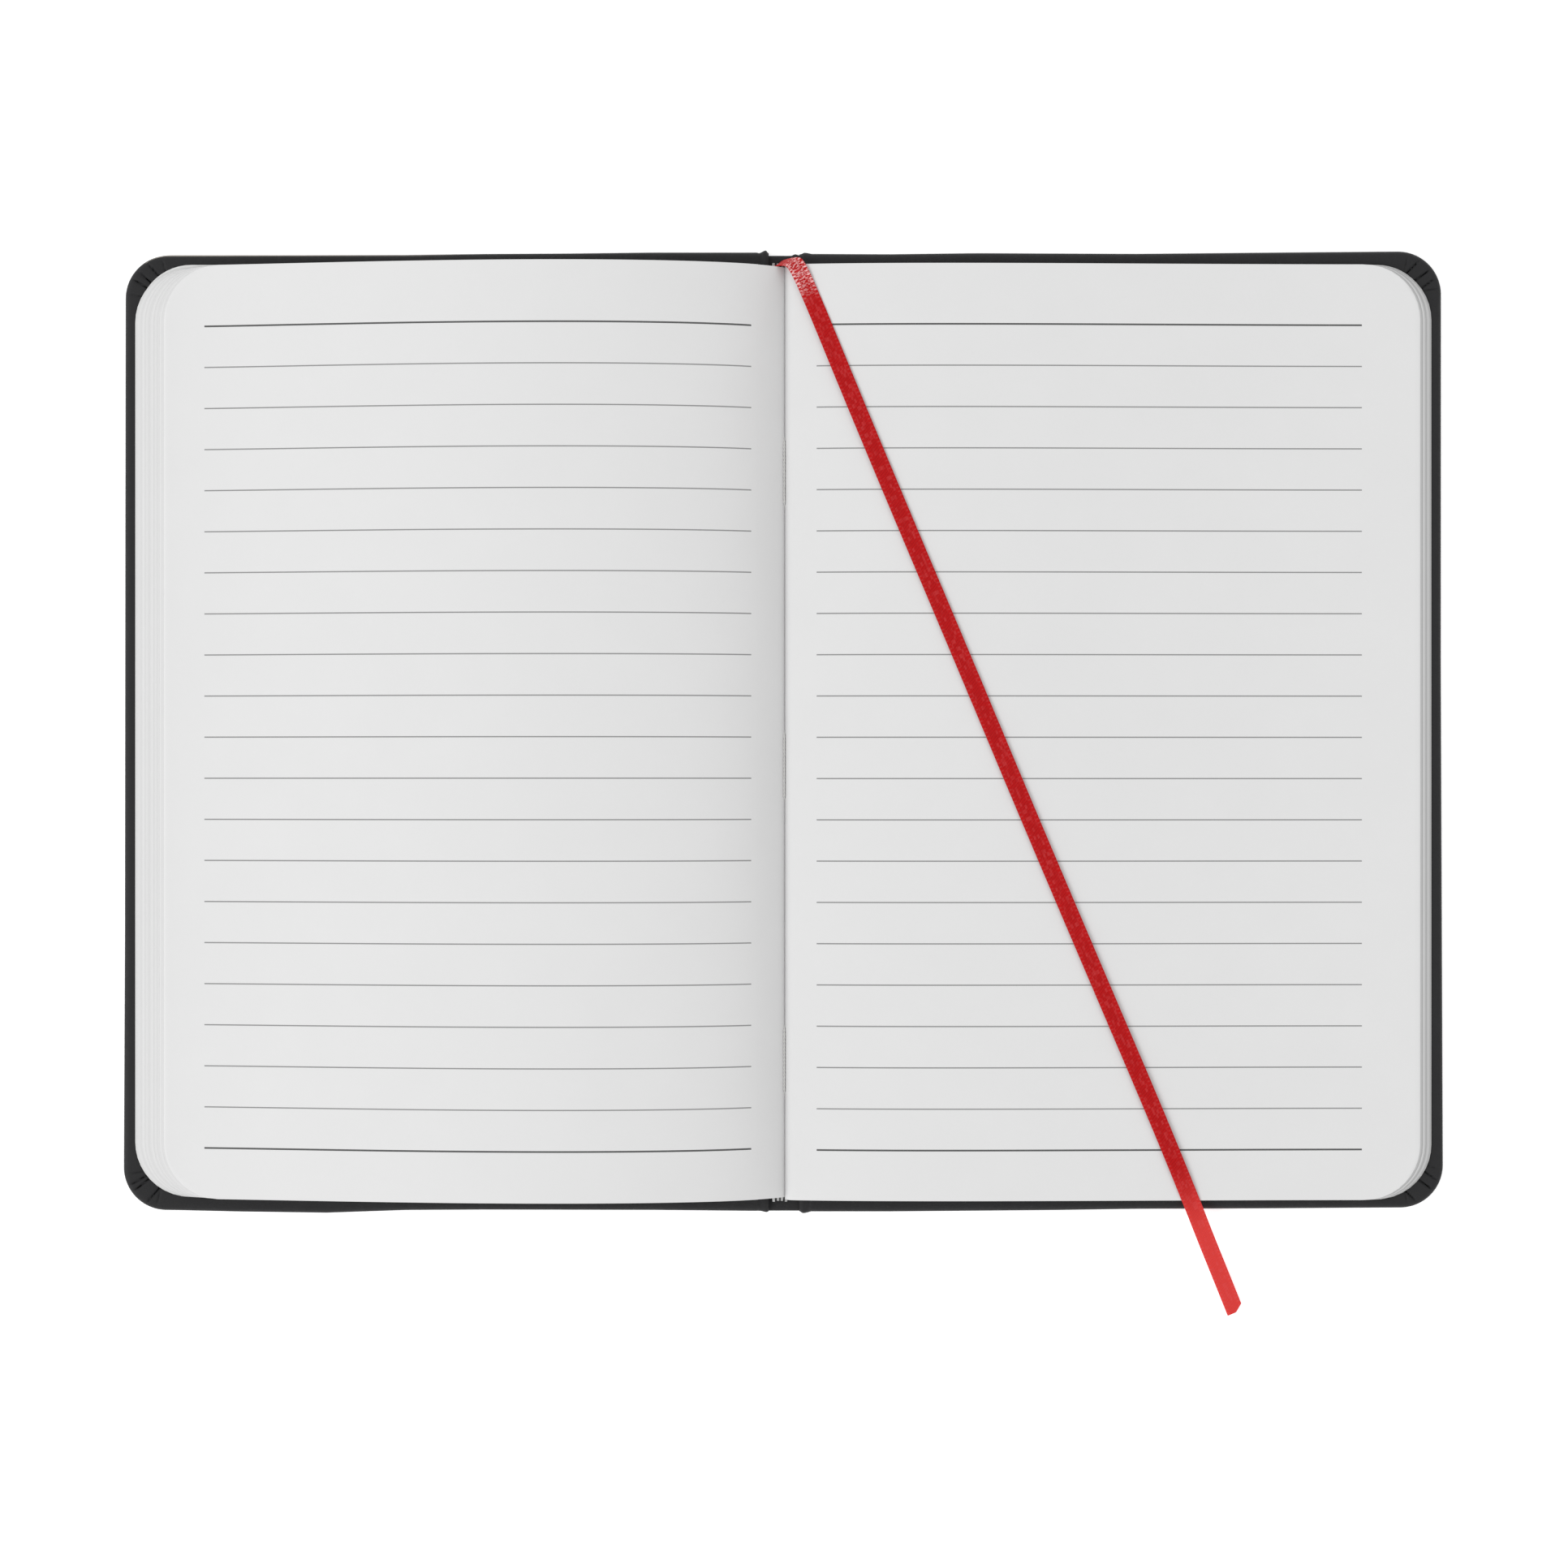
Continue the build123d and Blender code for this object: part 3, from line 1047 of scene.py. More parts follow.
class LeafTree(PieceGroup):
    """Geometry tree for one leaf: a thin box bent to the page rule, with round corners."""

    NUMBERS = (
        "Direction", "Low Level", "High Level", "Leaves", "Leaf", "Gutter", "Root Pitch", "Back",
        "First Height", "Outer Reach", "Fan", "Lift", "Peak Power", "Fall Power", "Top", "Foot",
        "Half Height", "Corner", "Start", "Finish", "Whole", "Ripple", "Shift", "Curl", "Margin", "Grime",
    )

    def __init__(self) -> None:
        """Builds the tree."""
        super().__init__("Leaf", self.NUMBERS, ("Columns", "Rows"))
        graph, get = self.graph, self.get
        box = graph.step(
            "GeometryNodeMeshCube", (1.0, 1.0, 1.0), Vertices_X=get("Columns"), Vertices_Y=get("Rows")
        )
        x, y, z = self.here()
        level = get("Low Level") + (z + 0.5) * (get("High Level") - get("Low Level"))
        root = get("Gutter") + get("Direction") * (get("Leaves") - level) * get("Root Pitch")
        span = get("Outer Reach") - get("Fan") * level - get("Direction") * root
        end = get("Finish") + get("Whole") * (span - get("Finish"))
        share = 0.5 - ((x + 0.5) * math.pi).do("COSINE") * 0.5
        out = get("Start") + (end - get("Start")) * share
        along = (out / span).do("MAXIMUM", 0.0).do("MINIMUM", 1.0)
        arch = along ** get("Peak Power") * (1.0 - along) ** get("Fall Power") / get("Top")
        lies_at = get("First Height") + level * get("Leaf")
        climb = (lies_at - get("Back")) * (1.0 - (-(out / get("Foot"))).do("EXPONENT"))
        past = (out - end + get("Corner")).do("MAXIMUM", 0.0)
        bow = (get("Corner") * get("Corner") - past * past).do("MAXIMUM", 0.0).do("SQRT")
        half = get("Half Height") - get("Corner") + bow
        row = (y * math.pi).do("SINE")
        up = row * half
        wave = (up * 52.0 + out * 23.0).do("SINE") + (up * 31.0 - out * 17.0).do("SINE")
        ripple = wave * get("Ripple") * along.low_to_high(0.0, 0.3)
        # Painted shade on the outer margin and round corners of the leaf, standing in for the shade on the
        # stacked fore-edge
        rim = (out - end + get("Margin")).do("MAXIMUM", 0.0) / get("Margin") * get("Whole")
        near_end = (row.do("ABSOLUTE") * half - half + get("Margin")).do("MAXIMUM", 0.0)
        round_end = near_end / get("Margin") * past.do("GREATER_THAN", 0.0) * get("Whole")
        shaded = self.remember(box, "grime", rim.do("MAXIMUM", round_end) * get("Grime"))
        placed = graph.step("GeometryNodeSetPosition", Geometry=shaded, Position=graph.vector(
            root + get("Direction") * out, up + get("Shift"),
            get("Back") + climb + get("Lift") * arch + ripple - rim * rim * get("Curl"),
        ))
        mirrored = get("Direction").do("LESS_THAN", 0.0)
        flipped = graph.step("GeometryNodeFlipFaces", Mesh=placed, Selection=mirrored)
        smooth = graph.step("GeometryNodeSetShadeSmooth", flipped)
        sharp = graph.step("GeometryNodeInputMeshEdgeAngle").do("GREATER_THAN", SHARP)
        self.close(graph.step(
            "GeometryNodeSetShadeSmooth", smooth, {"domain": "EDGE"}, Selection=sharp, Shade_Smooth=False
        ))


class PaperBlock:
    """The sewn block: every leaf as its own sheet."""

    COLUMNS = 52
    STRIP_COLUMNS = 28
    ROWS = 22
    SIGNATURE = 8
    STEP = 0.12 * MM
    CURL = 0.02 * MM
    STEP_CURL = 0.06 * MM
    FOLD_STRIP = 4.0 * MM
    FOLD_GAP = 0.002 * MM
    KEPT_FLAT = 0.01
    TRIM = 0.05 * MM
    RIPPLE = 0.03 * MM
    MARGIN = 0.45 * MM

    def __init__(self, finishes: Finishes) -> None:
        """Prepares the leaf tree.

        Args:
            finishes: The notebook's materials.
        """
        self.finishes = finishes
        self.tree = LeafTree()
        self.random = random.Random(SEED)

    def sheet(self, side: PageSide, span: LeafSpan) -> bpy.types.Object:
        """Makes one leaf.

        Args:
            side: The half of the block that it belongs to.
            span: Which leaf it is.

        Returns:
            The leaf.
        """
        fan = (side.outer_reach - side.inner_reach) / side.leaves
        trim = self.random.uniform(-self.TRIM, self.TRIM)
        top = span.level == side.leaves
        steps = top or (span.level > 0 and span.level % self.SIGNATURE == 0)
        # Painted shade on the fore-edge: none on the top leaf and less on the leaf that steps out at each
        # signature, so that lines of shade mark the signatures
        share = 0.45 if steps else 0.85 + 0.25 * math.sin(span.level * 1.6)
        whole = 0.0 if span.finish else 1.0
        values = {
            "Direction": float(side.direction), "Low Level": span.level - 1 + span.low,
            "High Level": span.level, "Leaves": float(side.leaves), "Leaf": side.leaf,
            "Gutter": side.gutter, "Root Pitch": side.root_pitch, "Back": side.back,
            "First Height": side.first_height,
            "Outer Reach": side.outer_reach + trim + (self.STEP if steps else 0.0), "Fan": fan,
            "Lift": side.lift(span.level), "Peak Power": side.rise, "Fall Power": side.fall,
            "Top": side.top, "Foot": side.foot,
            "Half Height": side.half_height + self.random.uniform(-1.0, 0.4) * self.TRIM,
            "Corner": side.corner * whole, "Start": span.start, "Finish": span.finish, "Whole": whole,
            "Ripple": self.RIPPLE, "Shift": side.shift, "Curl": self.STEP_CURL if steps else self.CURL,
            "Margin": self.MARGIN, "Grime": 0.0 if top else side.grime * share,
            "Columns": self.COLUMNS if whole else self.STRIP_COLUMNS, "Rows": self.ROWS,
            "Material": self.finishes.of[span.slot],
        }
        piece = grown(span.name, self.tree, values)
        dress(piece, span.body, span.slot, span.node)
        offset = side.closed(span.level - 0.5) - side.axis(span.axis_level)
        anchor = side.back - side.direction * offset
        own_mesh(piece)
        return piece

    def build(self) -> list[bpy.types.Object]:
        """Makes every leaf of the block.

        Returns:
            The leaves.
        """
        spans = []
        signatures = (
            (LEFT, "signature_1", "first_signature", 0), (LEFT, "signature_2", "second_signature", 8),
            (LEFT, "signature_3", "third_signature", 16), (RIGHT, "signature_5", "last_signature", 0),
        )
        for side, node, body, below in signatures:
            middle = below + self.SIGNATURE // 2
            for number in range(1, self.SIGNATURE + 1):
                spans.append((side, LeafSpan(f"{node}_leaf_{number}", node, body, below + number, middle)))
        left_body, left_middle = "open_left_leaves", LEFT.leaves - 2
        for number in (4, 3, 2):
            node, level = f"left_leaf_{number}", LEFT.leaves + 1 - number
            spans.append((LEFT, LeafSpan(f"{node}_sheet", node, left_body, level, left_middle)))
        top, half_gap = LEFT.leaves, self.FOLD_GAP / 2
        spans.append((LEFT, LeafSpan(
            "centre_fold_sheet", "centre_fold", left_body, top, left_middle,
            finish=self.FOLD_STRIP - half_gap,
        )))
        spans.append((LEFT, LeafSpan(
            "left_leaf_1_sheet", "left_leaf_1", "turning_leaf", top, left_middle,
            start=self.FOLD_STRIP + half_gap,
        )))
        for number in (4, 3, 2, 1):
            node, level = f"right_leaf_{number}", RIGHT.leaves + 1 - number
            spans.append((RIGHT, LeafSpan(
                f"{node}_sheet", node, "open_right_leaves", level, RIGHT.leaves - 2
            )))
        ends = ((LEFT, "front_flyleaf", "first_signature"), (RIGHT, "back_flyleaf", "last_signature"))
        for side, node, body in ends:
            spans.append((side, LeafSpan(f"{node}_sheet", node, body, -0.15, 4, slot=Slot.ENDPAPER)))
        return [self.sheet(side, span) for side, span in spans]


# ---------------------------------------------------------------------------------------------
# Sewing
# ---------------------------------------------------------------------------------------------


@dataclass
class FoldedBacks:
    """Rounded backs of the signatures, which stand out a little at head and tail."""

    finishes: Finishes
    width: float = 0.5 * MM
    height: float = 0.36 * MM
    sway: float = 0.03 * MM
    sunk: float = 0.45 * MM
    z: float = 2.32 * MM
    head: float = 70.55 * MM
    tail: float = -70.85 * MM
    shift: float = 0.2 * MM

    def tree(self) -> PieceGroup:
        """Builds the geometry tree: an uneven oval rod down the back of one signature.

        Returns:
            The tree.
        """
        group = PieceGroup(
            "Folded Back", ("X", "Z", "Head", "Tail", "Width", "Height", "Sway", "Phase"), ("Rings", "Sides")
        )
        graph, get = group.graph, group.get
        line = graph.step(
            "GeometryNodeCurvePrimitiveLine", Start=graph.vector(get("X"), get("Tail"), get("Z")),
            End=graph.vector(get("X"), get("Head"), get("Z")),
        )
        fine = graph.step("GeometryNodeResampleCurve", Curve=line, Count=get("Rings"))
        rod = group.rod(fine, get("Sides"), 0.5)
        x, y, z = group.here()
        from_end = (y - get("Tail")).do("MINIMUM", get("Head") - y)
        full = from_end.low_to_high(-0.2 * MM, 0.7 * MM) * 0.35 + 0.65
        sway = (y * 900.0 + get("Phase")).do("SINE") * get("Sway")
        placed = graph.step("GeometryNodeSetPosition", Geometry=rod, Position=graph.vector(
            get("X") + (x - get("X")) * get("Width") * full + sway, y,
            get("Z") + (z - get("Z")) * get("Height") * full,
        ))
        # Painted shade on the fold in the gutter, in uneven bands along it
        grime = (y * 3100.0 + get("Phase")).do("SINE") * 0.16 + 0.5
        group.close(group.remember(graph.step("GeometryNodeSetShadeSmooth", placed), "grime", grime))
        return group

    def build(self) -> list[bpy.types.Object]:
        """Makes the back of each signature.

        Returns:
            The backs.
        """
        group = self.tree()
        chance = random.Random(SEED)
        homes = (
            ("signature_1", LEFT, 4, 0.0), ("signature_2", LEFT, 12, 0.0), ("signature_3", LEFT, 20, 0.0),
            ("signature_4", LEFT, 28, self.sunk), ("signature_5", RIGHT, 4, 0.0),
        )
        made = []
        for name, side, level, sunk in homes:
            values = {
                "X": side.root(level) + self.shift, "Z": self.z - sunk,
                "Width": self.width, "Height": self.height, "Sway": self.sway,
                "Head": self.head + chance.uniform(-0.2, 0.1) * MM,
                "Tail": self.tail + chance.uniform(-0.1, 0.25) * MM,
                "Phase": chance.uniform(0, 6), "Rings": 160, "Sides": 14,
                "Material": self.finishes.of[Slot.ENDPAPER],
            }
            piece = dress(grown(f"{name}_back", group, values), "spine", Slot.ENDPAPER)
            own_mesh(piece)
            made.append(piece)
        return made


@dataclass
class Sewing:
    """Three two-ply stitches that show in the open fold."""

    finishes: Finishes
    length: float = 10.8 * MM
    pitch: float = 44.2 * MM
    middle: float = -5.3 * MM
    x: float = 0.03 * MM
    z: float = 2.62 * MM
    ply: float = 0.085 * MM
    twist: float = 1.1 * MM
    dip: float = 0.55 * MM
    steps: int = 90
    sides: int = 8
    stitches: int = 3

    def tree(self) -> PieceGroup:
        """Builds the geometry tree: plies wound round each other, repeated down the fold.

        Returns:
            The tree.
        """
        group = PieceGroup(
            "Stitches", ("Length", "Pitch", "Middle", "X", "Z", "Ply", "Twist", "Dip"),
            ("Steps", "Sides", "Stitches"),
        )
        graph, get = group.graph, group.get
        join = graph.add("GeometryNodeJoinGeometry")
        line = graph.step("GeometryNodeCurvePrimitiveLine", Start=(0.0, -0.5, 0.0), End=(0.0, 0.5, 0.0))
        fine = graph.step("GeometryNodeResampleCurve", Curve=line, Count=get("Steps"))
        _, y, _ = group.here()
        place = y * get("Length")
        radius = get("Ply") * 0.92
        dip = (y * 2.0).do("ABSOLUTE").low_to_high(0.82, 1.0) * get("Dip")
        for phase in (0.0, math.pi):
            winding = place / get("Twist") * FULL_TURN + phase
            wound = graph.vector(
                winding.do("COSINE") * radius, place, winding.do("SINE") * radius - dip
            )
            moved = graph.step("GeometryNodeSetPosition", Geometry=fine, Position=wound)
            graph.feed(join, 0, group.rod(moved, get("Sides"), get("Ply")))
        smooth = graph.step("GeometryNodeSetShadeSmooth", join.outputs[0])
        row = graph.step(
            "GeometryNodeMeshLine", Count=get("Stitches"), Offset=graph.vector(0.0, get("Pitch"), 0.0),
            Start_Location=graph.vector(get("X"), get("Middle") - get("Pitch"), get("Z")),
        )
        group.close(graph.step("GeometryNodeInstanceOnPoints", Points=row, Instance=smooth))
        return group

    def build(self) -> bpy.types.Object:
        """Makes the stitches.

        Returns:
            The stitches.
        """
        values = {
            "Length": self.length, "Pitch": self.pitch, "Middle": self.middle, "X": self.x, "Z": self.z,
            "Ply": self.ply, "Twist": self.twist, "Dip": self.dip, "Steps": self.steps,
            "Sides": self.sides, "Stitches": self.stitches, "Material": self.finishes.of[Slot.THREAD],
        }
        piece = grown("fold_stitches", self.tree(), values)
        dress(piece, "spine", Slot.THREAD, "sewing_thread")
        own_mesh(piece)
        return piece


# ---------------------------------------------------------------------------------------------
# Case
# ---------------------------------------------------------------------------------------------


@dataclass
class CoverSkin:
    """Soft skin wrapped round one board, with gathered corners and turned-in edges."""

    finishes: Finishes
    side: int
    name: str
    inner: float = 3.3 * MM
    outer: float = 99.1 * MM
    half_height: float = 72.0 * MM
    corner: float = 6.5 * MM
    hinge_corner: float = 0.9 * MM
    thickness: float = 1.95 * MM
    skin: float = 0.3 * MM
    edge: float = 0.85 * MM
    turn_in: float = 14.0 * MM
    tight: float = 0.35 * MM
    pleat_depth: float = 0.28 * MM
    pleat_width: float = 0.13 * MM
    head_line: tuple[tuple[float, float], ...] = ()
    tail_line: tuple[tuple[float, float], ...] = ()
    side_line: tuple[tuple[float, float], ...] = ()

    WIDE_STEPS = 46
    NARROW_STEPS = 8
    RUN_STEPS = (70, 44, 70, 44)
    EDGE_STEPS = 7
    # Each crease: where it meets the rim, which way it runs, both in degrees, and how deep it is
    CREASES = (
        (9.0, 10.0, 0.5), (27.0, 33.0, 0.9), (41.0, 38.0, 1.0), (61.0, 47.0, 1.0), (78.0, 76.0, 0.45)
    )

    def outline(self, inset: float) -> np.ndarray:
        """The board's outline, moved inwards.

        Args:
            inset: How far inwards, in metres.

        Returns:
            One row of X, Y for each point, counter-clockwise, for the right-hand cover.
        """
        low_x, high_x = self.inner + inset, self.outer - inset
        half = self.half_height - inset
        wide = max(self.corner - inset, self.tight)
        narrow = max(self.hinge_corner - inset, self.tight)
        corners = (
            (high_x, -half, wide, -90.0, self.WIDE_STEPS), (high_x, half, wide, 0.0, self.WIDE_STEPS),
            (low_x, half, narrow, 90.0, self.NARROW_STEPS), (low_x, -half, narrow, 180.0, self.NARROW_STEPS),
        )

        def arc(corner: tuple[float, float, float, float, int], degrees: Any) -> np.ndarray:
            """Points of a corner's arc at some angles."""
            x, y, radius = corner[:3]
            inwards = (math.copysign(radius, x - (low_x + high_x) / 2), math.copysign(radius, y))
            angles = np.radians(degrees)
            return np.array([x, y]) - inwards + radius * np.stack([np.cos(angles), np.sin(angles)], axis=-1)

        points = []
        for i, (corner, steps) in enumerate(zip(corners, self.RUN_STEPS)):
            after = corners[(i + 1) % 4]
            round_part = arc(corner, corner[3] + np.linspace(0.0, 90.0, corner[4]))
            shares = np.linspace(0.0, 1.0, steps + 2)[1:-1, None]
            points += [round_part, round_part[-1] * (1 - shares) + arc(after, after[3]) * shares]
        return np.vstack(points)

    def profile(self) -> list[tuple[float, float]]:
        """The skin's section as (inset, Z), from the turn-in's end round the edge to the outside.

        Returns:
            The points of the outer face.
        """
        top = self.thickness
        section = [(self.turn_in, top), (9 * MM, top), (6.2 * MM, top)]
        section += [(inset * MM, top) for inset in np.arange(5.6, 1.0, -0.16)]
        quarter = [math.pi / 2 * i / self.EDGE_STEPS for i in range(self.EDGE_STEPS + 1)]
        for angle in quarter:
            section.append((self.edge * (1 - math.sin(angle)), top - self.edge * (1 - math.cos(angle))))
        for angle in quarter:
            section.append((self.edge * (1 - math.cos(angle)), self.edge * (1 - math.sin(angle))))
        return section + [(3 * MM, 0.0), (8 * MM, 0.0)]

    def pleats(self, points: np.ndarray, chance: random.Random) -> np.ndarray:
        """How far the gathered corners sink or rise at each point.

        Args:
            points: X, Y and Z of the points, for the right-hand cover.
            chance: Source of the small differences between corners.

        Returns:
            The change of height of each point.
        """
        change = np.zeros(len(points))
        for end in (-1, 1):
            centre = np.array([self.outer - self.corner, end * (self.half_height - self.corner)])
            for at, along, weight in self.CREASES:
                at = math.radians(at + chance.uniform(-4, 4))
                along = math.radians(along + chance.uniform(-5, 5))
                rim = centre + self.corner * np.array([math.cos(at), end * math.sin(at)])
                inwards = -np.array([math.cos(along), end * math.sin(along)])
                offset = points[:, :2] - rim
                deep = offset @ inwards
                aside = offset @ np.array([-inwards[1], inwards[0]]) * end
                starts = np.clip((deep + 0.1 * MM) / (1.3 * MM), 0, 1)
                reach = starts * np.clip((5.2 * MM - deep) / (1.5 * MM), 0, 1)
                groove = np.exp(-((aside / self.pleat_width) ** 2))
                fold = np.where(aside > 0, np.exp(-aside / (0.7 * MM)), 0.0)
                change -= self.pleat_depth * weight * reach * (groove + 0.42 * fold)
        upper = np.clip((points[:, 2] - 0.9 * MM) / (0.9 * MM), 0, 1)
        return change * upper

    def build(self) -> bpy.types.Object:
        """Makes the skin.

        Returns:
            The skin.
        """
        chance = random.Random(SEED + self.side)
        outer = self.profile()
        rings, rub = [], []
        skin_in = [
            (8 * MM, self.skin), (self.edge, self.skin), (self.skin, self.edge),
            (self.skin, self.thickness - self.edge), (self.edge, self.thickness - self.skin),
            (self.turn_in, self.thickness - self.skin),
        ]
        for place, (inset, z) in enumerate(outer + skin_in):
            plan = self.outline(inset)
            rings.append(np.column_stack([plan, np.full(len(plan), z)]))
            rubbed = math.exp(-inset / (0.5 * MM)) * (1.0 if z > 0.3 * MM else 0.5)
            rub.append(np.full(len(plan), rubbed if place < len(outer) else 0.0))
        size = len(rings[0])
        points = np.vstack(rings)
        on_outside = np.arange(len(points)) < len(outer) * size
        points[:, 2] += np.where(on_outside, self.pleats(points, chance), 0.0)
        plan = points[:, :2].copy()
        for ends, line in ((1, self.head_line), (-1, self.tail_line)):
            at, moved = (np.array(column) * MM for column in zip(*line))
            share = np.clip((ends * plan[:, 1] - 55 * MM) / (10 * MM), 0, 1)
            points[:, 1] += share * np.interp(plan[:, 0], at, moved)
        at, moved = (np.array(column) * MM for column in zip(*self.side_line))
        share = np.clip((plan[:, 0] - 80 * MM) / (10 * MM), 0, 1)
        points[:, 0] += share * np.interp(plan[:, 1], at, moved)
        points[:, 2] = np.clip(points[:, 2], 0.0, self.thickness + 0.04 * MM)
        count = len(outer)
        faces = tube_faces(count, size)
        middle = (count - 1) * size
        faces.append(tuple(range(middle + size - 1, middle - 1, -1)))
        inner_start = count * size
        faces += [tuple(v + inner_start for v in face) for face in tube_faces(len(skin_in), size)]
        faces.append(tuple(range(inner_start, inner_start + size)))
        last = (count + len(skin_in) - 1) * size
        for i in range(size):
            j = (i + 1) % size
            faces.append((last + i, last + j, j, i))
        points[:, 0] *= self.side
        faces = [face[::-1] for face in faces] if self.side > 0 else faces
        piece = mesh_piece(f"{self.name}_skin_wrap", points, faces, self.finishes.of[Slot.SKIN])
        store(piece, "rub", np.concatenate(rub))
        return dress(piece, f"{self.name}_cover", Slot.SKIN, f"{self.name}_cover_skin")


@dataclass(frozen=True)
class StripEnd:
    """One turned-in end of a strip of skin, with the lobe that bulges from it."""

    reach: float
    bulge: float = 0.0
    bulge_x: float = 0.0
    bulge_width: float = 0.7 * MM
    bulge_rise: float = 0.0


@dataclass
class SkinStrip:
    """A strip of skin along the spine, turned in over head and tail."""

    finishes: Finishes
    name: str
    low_x: float
    high_x: float
    rise: float
    head: StripEnd
    tail: StripEnd
    turn_in: float = 13.0 * MM
    skin: float = 0.28 * MM
    floor: float = 0.0

    def half_path(self, x: float, end: StripEnd) -> np.ndarray:
        """The outer face's section towards one end, from the turn-in's edge to the middle.

        Args:
            x: Where the section is, in metres.
            end: The end that it runs round.

        Returns:
            One row of distance from the middle and Z for each point.
        """
        outside = (x - end.bulge_x) * math.copysign(1.0, end.bulge_x) > 0
        share = math.exp(-(((x - end.bulge_x) / (end.bulge_width * (1.7 if outside else 0.7))) ** 2))
        half = end.reach + end.bulge * share
        top = self.floor + self.rise + end.bulge_rise * share
        radius = (top - self.floor) / 2
        points = [(half - self.turn_in, top - end.bulge_rise * share)]
        points += [(half - gap * MM, top) for gap in (6.0, 3.0, 1.9)]
        for angle in np.radians(np.linspace(90.0, -90.0, 13)):
            rise = self.floor + radius + radius * math.sin(angle)
            points.append((half - radius + radius * math.cos(angle), rise))
        points += [(y, self.floor) for y in np.linspace(half - 6 * MM, 0.0, 16)]
        return np.array(points)

    def build(self) -> bpy.types.Object:
        """Makes the strip.

        Returns:
            The strip, riding on nothing yet.
        """
        xs = np.linspace(self.low_x, self.high_x, 19)
        sections = []
        for x in xs:
            tail = self.half_path(x, self.tail)[::-1][1:] * np.array([-1.0, 1.0])
            sections.append(np.vstack([self.half_path(x, self.head), tail]))
        outer = np.array(sections)
        along = np.gradient(outer, axis=1)
        length = np.maximum(np.linalg.norm(along, axis=2, keepdims=True), 1e-9)
        inwards = np.stack([along[..., 1], -along[..., 0]], axis=2) / length
        inner = outer + inwards * self.skin
        rows, count = outer.shape[:2]
        loops = []
        for row in range(rows):
            loop = np.vstack([outer[row], inner[row][::-1]])
            loops.append(np.column_stack([np.full(len(loop), xs[row]), loop]))
        points = np.vstack(loops)
        size = 2 * count
        faces = [face[::-1] for face in tube_faces(rows, size)]
        for row in (0, rows - 1):
            start = row * size
            for i in range(count - 1):
                quad = (start + i, start + i + 1, start + size - 2 - i, start + size - 1 - i)
                faces.append(quad if row == 0 else quad[::-1])
        piece = mesh_piece(self.name, points, faces, self.finishes.of[Slot.SKIN])
        rub = np.clip((np.abs(points[:, 1]) - 71.0 * MM) / (1.2 * MM), 0, 1) * 0.5
        store(piece, "rub", rub)
        return piece


class Case:
    """Covers, spine and the parts inside them."""

    def __init__(self, finishes: Finishes) -> None:
        """Keeps the materials.

        Args:
            finishes: The notebook's materials.
        """
        self.finishes = finishes

    def build(self) -> list[bpy.types.Object]:
        """Makes the skins and dresses what lies under them.

        Returns:
            The pieces made.
        """
        front = CoverSkin(
            self.finishes, -1, "front",
            head_line=(
                (4.4, 0.17), (20, 0.17), (33, 0.02), (45, -0.05), (57, -0.2), (82, -0.26), (92, -0.28)
            ),
            tail_line=(
                (4.4, -0.4), (20, -0.26), (45, -0.21), (57, -0.27), (69, -0.68), (82, -0.5), (92, -0.26)
            ),
            side_line=((-70, 0.5), (-30, 0.32), (30, 0.26), (70, 0.2)),
        )
        back = CoverSkin(
            self.finishes, 1, "back",
            head_line=((5, -0.04), (16, -0.09), (29, 0.08), (53, -0.03), (72, 0.15), (92, 0.32)),
            tail_line=((5, -0.48), (16, -0.48), (41, -0.28), (53, -0.1), (72, -0.03), (92, 0.1)),
            side_line=((-70, 0.3), (-30, 0.14), (10, -0.02), (70, 0.0)),
        )
        made = [front.build(), back.build()]
        spine = SkinStrip(
            self.finishes, "spine_skin_wrap", -2.62 * MM, 2.62 * MM, rise=1.0 * MM,
            head=StripEnd(71.75 * MM, 0.25 * MM, 1.6 * MM, 0.35 * MM), tail=StripEnd(72.42 * MM),
        ).build()
        made.append(dress(spine, "spine", Slot.SKIN, "spine_skin"))
        ends = {
            -1: (StripEnd(72.05 * MM, 0.45 * MM, -2.75 * MM, 0.4 * MM, 0.3 * MM),
                 StripEnd(72.4 * MM, 0.2 * MM, -2.6 * MM, 0.4 * MM, 0.1 * MM)),
            1: (StripEnd(71.9 * MM, 0.25 * MM, 3.1 * MM, 0.6 * MM, 0.3 * MM),
                StripEnd(72.35 * MM, 0.4 * MM, 2.9 * MM, 0.7 * MM, 0.25 * MM)),
        }
        for side, name in ((-1, "front"), (1, "back")):
            low, high = sorted((side * 2.3 * MM, side * 4.3 * MM))
            head, tail = ends[side]
            strip = SkinStrip(
                self.finishes, f"{name}_hinge_skin", low, high, rise=1.75 * MM, head=head, tail=tail,
                floor=0.015 * MM,
            ).build()
            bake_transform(strip)
            log.info("%s: %d faces, bends at the hinge", strip.name, len(strip.data.polygons))
            made.append(strip)
        self.dress_inside()
        return made

    def dress_inside(self) -> None:
        """Gives the carried-over nodes their finishes."""
        slots = {
            "front_board": Slot.BOARD, "back_board": Slot.BOARD, "spine_strip": Slot.BOARD,
            "front_pastedown": Slot.ENDPAPER, "back_pastedown": Slot.ENDPAPER,
            "spine_gauze": Slot.GAUZE, "spine_lining": Slot.LINING,
        }
        for node, slot in slots.items():
            data = frame["nodes"][node].data
            data.materials.clear()
            data.materials.append(self.finishes.of[slot])
            log.info("%s: carried over as %s", node, slot.value)


# ---------------------------------------------------------------------------------------------
# Ribbon
# ---------------------------------------------------------------------------------------------


